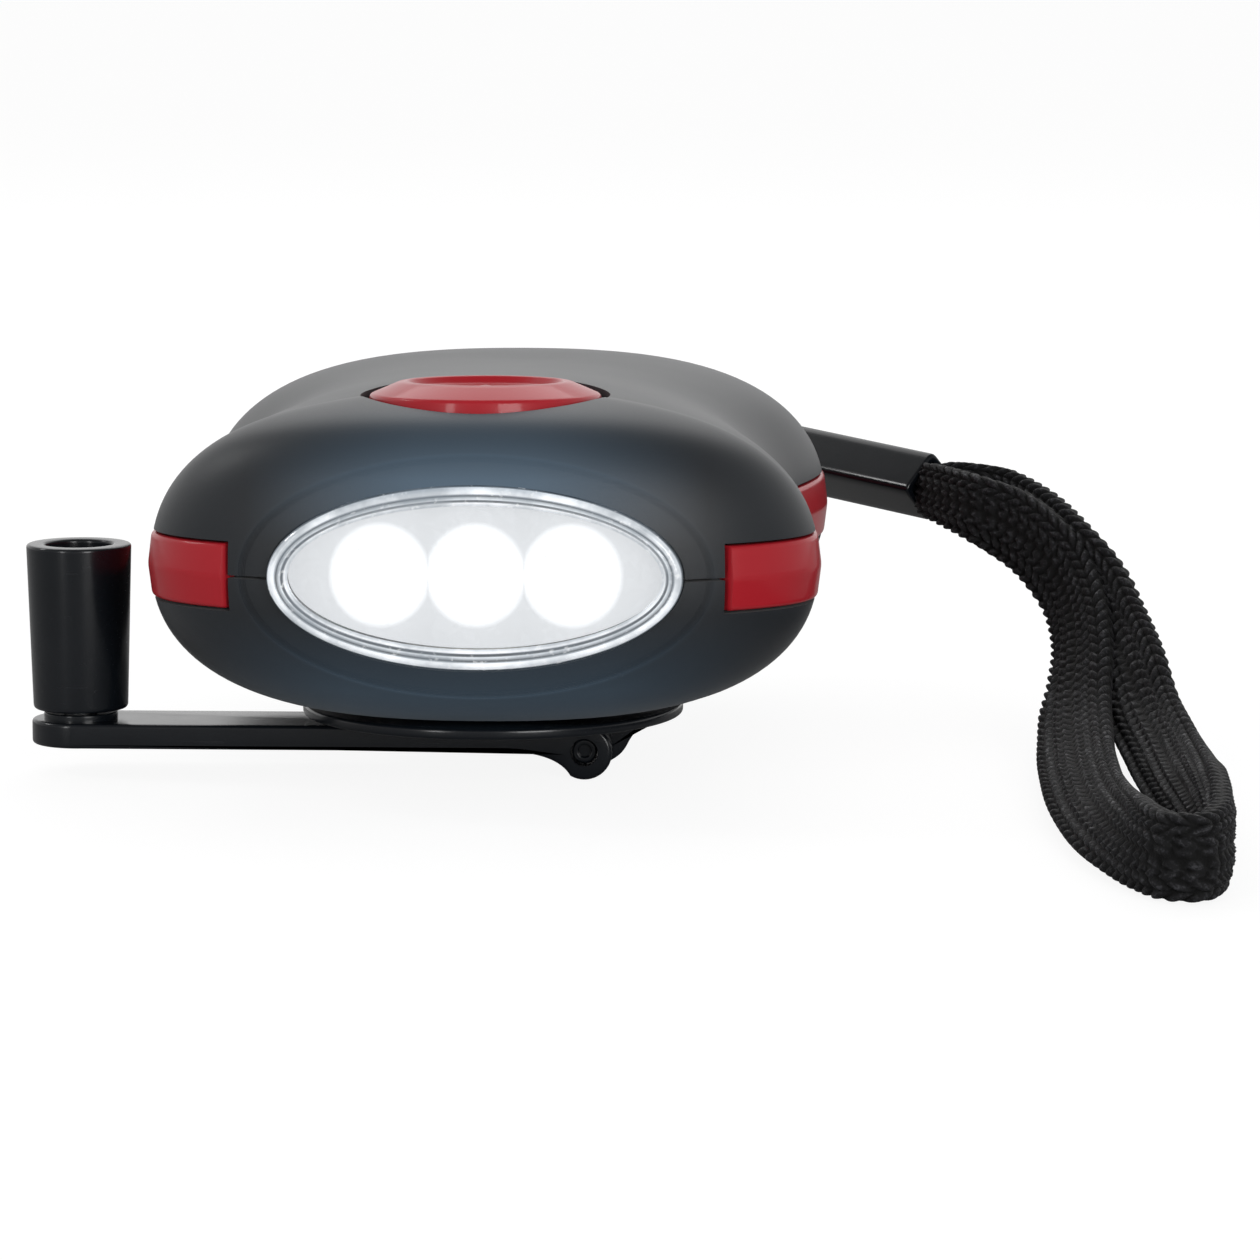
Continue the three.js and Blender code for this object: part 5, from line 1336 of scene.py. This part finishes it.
def dress_inner():
    """Better finishes for the CAD nodes that stay: gears, boards, generator and cells."""
    gears = plain_moulding("natural_nylon", (0.70, 0.66, 0.55), 0.38)
    boards = plain_moulding("board_laminate", (0.027, 0.10, 0.042), 0.35)
    frame_black = plain_moulding("frame_plastic", (0.02, 0.021, 0.023), 0.45)
    magnet = plain_moulding("sintered_magnet", (0.07, 0.073, 0.08), 0.35, 0.7)
    cells = plain_moulding("cell_wrap", (0.05, 0.19, 0.084), 0.25)
    steel = bright_steel()
    finishes = (
        (gears, ("drive_gear", "first_gear", "second_gear", "rotor_pinion")),
        (boards, ("led_board", "main_board")),
        (frame_black, ("gear_plate", "switch_body", "switch_plunger")),
        (steel, ("first_axle", "second_axle", "rotor_shaft", "hub_screw")),
        (magnet, ("rotor_magnet", "stator_core")), (wound_copper(), ("stator_coil",)),
        (cells, ("battery_cell_front", "battery_cell_middle", "battery_cell_rear")))
    for finish, nodes in finishes:
        for node in nodes:
            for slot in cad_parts[node].material_slots:
                slot.material = finish


# Stage

# Camera that matches the photograph: its place from the crank's axis, how far it looks down and
# to the left in radians, and its focal length, which is 5499 dots for a picture 1260 dots wide
CAMERA_PLACE = (33.926 * MM, -500 * MM, 83.75 * MM)
CAMERA_DOWN, CAMERA_LEFT = 0.139909, 0.0426014
SENSOR_WIDTH = 36.0
FOCAL_LENGTH = SENSOR_WIDTH * 5499.0 / 1260.0
# Place, width, height and power of each lamp
LIGHTS = {
    "top_light": ((0.0, 0.50, 0.62), 0.8, 0.5, 1.8),
    "left_light": ((-0.46, -0.80, 0.22), 0.13, 0.40, 1.2),
    "right_light": ((0.43, -0.82, 0.22), 0.36, 0.40, 3.0),
    "side_light": ((-0.70, 0.12, 0.60), 0.14, 0.14, 0.8)}
LIGHT_TARGET = (0, 0, 0.02)


def build_camera():
    """Camera at the photograph's angle."""
    scene = bpy.context.scene
    data = bpy.data.cameras.new("camera")
    data.sensor_width, data.lens = SENSOR_WIDTH, FOCAL_LENGTH
    data.clip_start, data.clip_end = 0.01, 50.0
    camera = bpy.data.objects.new("camera", data)
    camera.location = Vector(CAMERA_PLACE) + Vector(ORIGIN)
    camera.rotation_euler = (math.pi / 2 - CAMERA_DOWN, 0.0, CAMERA_LEFT)
    scene.collection.objects.link(camera)
    scene.camera = camera


def build_floor():
    """Floor that is nearly white to the camera and grey to the light that it throws back."""
    mesh = bpy.data.meshes.new("floor")
    mesh.from_pydata([(-4, -4, 0), (4, -4, 0), (4, 8, 0), (-4, 8, 0)], [], [(0, 1, 2, 3)])
    ground = bpy.data.objects.new("floor", mesh)
    bpy.context.scene.collection.objects.link(ground)
    finish = Finish("pale_floor", Specular_IOR_Level=0.15)
    seen = finish.node("ShaderNodeLightPath", output="Is Camera Ray")
    finish.surface(Base_Color=finish.mix((0.40, 0.40, 0.40), (0.85, 0.85, 0.85), seen),
                   Roughness=0.55 + 0.1 * finish.noise(3.0))
    white = finish.node("ShaderNodeEmission", {}, {"Color": (1, 1, 1), "Strength": 1.12})
    finish.face = finish.node("ShaderNodeMixShader", {}, {0: seen * 0.80, 1: finish.face, 2: white})
    mesh.materials.append(finish.shown())


def build_surroundings():
    """White to the camera. As a light they are dimmer ahead of the flashlight and overhead."""
    world = bpy.data.worlds.new("surroundings")
    world.use_nodes = True
    bpy.context.scene.world = world
    paint = Paint(world.node_tree)
    direction = paint.node("ShaderNodeTexCoord", output="Generated")
    ahead = paint.between(paint.axis(1, direction), -0.35, 0.8, 0.42, 1.0)
    overhead = paint.between(paint.axis(2, direction), 0.30, 0.90, 1.0, 0.38)
    light, white = (
        paint.node("ShaderNodeBackground", {}, {"Color": (1, 1, 1), "Strength": strength})
        for strength in (ahead * overhead, 1.0))
    seen = paint.node("ShaderNodeLightPath", output="Is Camera Ray")
    both = paint.node("ShaderNodeMixShader", {}, {0: seen, 1: light, 2: white})
    paint.node("ShaderNodeOutputWorld", {}, {"Surface": both})


def build_lights():
    """Four soft lamps that are turned to the flashlight."""
    for name, (place, width, height, power) in LIGHTS.items():
        data = bpy.data.lights.new(name, "AREA")
        data.shape, data.size, data.size_y, data.energy = "RECTANGLE", width, height, power
        item = bpy.data.objects.new(name, data)
        item.location = place
        aim = Vector(LIGHT_TARGET) - Vector(place)
        item.rotation_euler = aim.to_track_quat("-Z", "Y").to_euler()
        bpy.context.scene.collection.objects.link(item)


# Operators and panel

class FLASHLIGHT_OT_stage(bpy.types.Operator):
    """Adds the floor, the lamps and the camera"""
    bl_idname = "flashlight.stage"
    bl_label = "Stage"
    bl_options = {"REGISTER", "UNDO"}

    def execute(self, context):
        bpy.context.scene.view_settings.view_transform = "Standard"
        build_camera()
        build_floor()
        build_surroundings()
        build_lights()
        return {"FINISHED"}


class FLASHLIGHT_OT_strap(bpy.types.Operator):
    """Adds the braid, its sleeve and the thin loop round the anchor pin"""
    bl_idname = "flashlight.strap"
    bl_label = "Wrist strap"
    bl_options = {"REGISTER", "UNDO"}

    def execute(self, context):
        yarn = knitted_black()
        build_strap(yarn)
        build_sleeve(sleeve_plastic())
        build_loop(yarn)
        return {"FINISHED"}


class FLASHLIGHT_OT_housing(bpy.types.Operator):
    """Adds the two soft-touch shells"""
    bl_idname = "flashlight.housing"
    bl_label = "Housing shells"
    bl_options = {"REGISTER", "UNDO"}

    def execute(self, context):
        rubber = soft_rubber()
        build_upper_shell(rubber)
        build_lower_shell(rubber)
        return {"FINISHED"}


class FLASHLIGHT_OT_red_parts(bpy.types.Operator):
    """Adds the side bands and the push button"""
    bl_idname = "flashlight.red_parts"
    bl_label = "Bands and button"
    bl_options = {"REGISTER", "UNDO"}

    def execute(self, context):
        red = gloss_red()
        build_bands(red)
        build_button(red)
        return {"FINISHED"}


class FLASHLIGHT_OT_lamp(bpy.types.Operator):
    """Adds the lens, the reflector and the three lit lamps"""
    bl_idname = "flashlight.lamp"
    bl_label = "Lamp"
    bl_options = {"REGISTER", "UNDO"}

    def execute(self, context):
        build_lens(clear_window(), clear_rim())
        build_reflector(lit_reflector())
        build_lamps(lamp_glow())
        return {"FINISHED"}


class FLASHLIGHT_OT_crank(bpy.types.Operator):
    """Adds the crank disc, the folding arm and the knob"""
    bl_idname = "flashlight.crank"
    bl_label = "Crank"
    bl_options = {"REGISTER", "UNDO"}

    def execute(self, context):
        black = gloss_black()
        build_hub(black)
        build_arm(black)
        build_knob(black)
        return {"FINISHED"}


class FLASHLIGHT_OT_screws(bpy.types.Operator):
    """Adds the case screws, the knob's screw and the strap's anchor pin"""
    bl_idname = "flashlight.screws"
    bl_label = "Screws and pin"
    bl_options = {"REGISTER", "UNDO"}

    def execute(self, context):
        build_screws(bright_steel())
        return {"FINISHED"}


class FLASHLIGHT_OT_inner(bpy.types.Operator):
    """Gives the pieces inside the housing their finishes"""
    bl_idname = "flashlight.inner"
    bl_label = "Inner pieces"
    bl_options = {"REGISTER", "UNDO"}

    def execute(self, context):
        dress_inner()
        return {"FINISHED"}


GROUPS = {
    "flashlight_housing": FlashlightHousing, "flashlight_crank": FlashlightCrank,
    "flashlight_strap": FlashlightStrap, "flashlight_finish": FlashlightFinish}
OPERATORS = (
    FLASHLIGHT_OT_stage, FLASHLIGHT_OT_strap, FLASHLIGHT_OT_housing, FLASHLIGHT_OT_red_parts,
    FLASHLIGHT_OT_lamp, FLASHLIGHT_OT_crank, FLASHLIGHT_OT_screws, FLASHLIGHT_OT_inner)


class FLASHLIGHT_PT_panel(bpy.types.Panel):
    """Lists the sizes, the colours and the build steps"""
    bl_label = "Hand Crank Flashlight"
    bl_idname = "FLASHLIGHT_PT_panel"
    bl_space_type = "VIEW_3D"
    bl_region_type = "UI"
    bl_category = "Flashlight"

    def draw(self, context):
        """Lays out a box for each group of sizes or colours, and a button for each step."""
        for name in GROUPS:
            group, box = getattr(context.scene, name), self.layout.box()
            for item in group.__annotations__:
                box.prop(group, item)
        for operator in OPERATORS:
            self.layout.operator(operator.bl_idname)


def register():
    """Makes the groups, the steps and the panel known to Blender."""
    for item in (*GROUPS.values(), *OPERATORS, FLASHLIGHT_PT_panel):
        bpy.utils.register_class(item)
    for name, group in GROUPS.items():
        setattr(bpy.types.Scene, name, PointerProperty(type=group))


def unregister():
    """Takes them away again."""
    for name in GROUPS:
        delattr(bpy.types.Scene, name)
    for item in (FLASHLIGHT_PT_panel, *reversed(OPERATORS), *reversed(GROUPS.values())):
        bpy.utils.unregister_class(item)


def main():
    register()
    for operator in OPERATORS:
        group, name = operator.bl_idname.split(".")
        getattr(getattr(bpy.ops, group), name)()


if __name__ == "__main__":
    main()
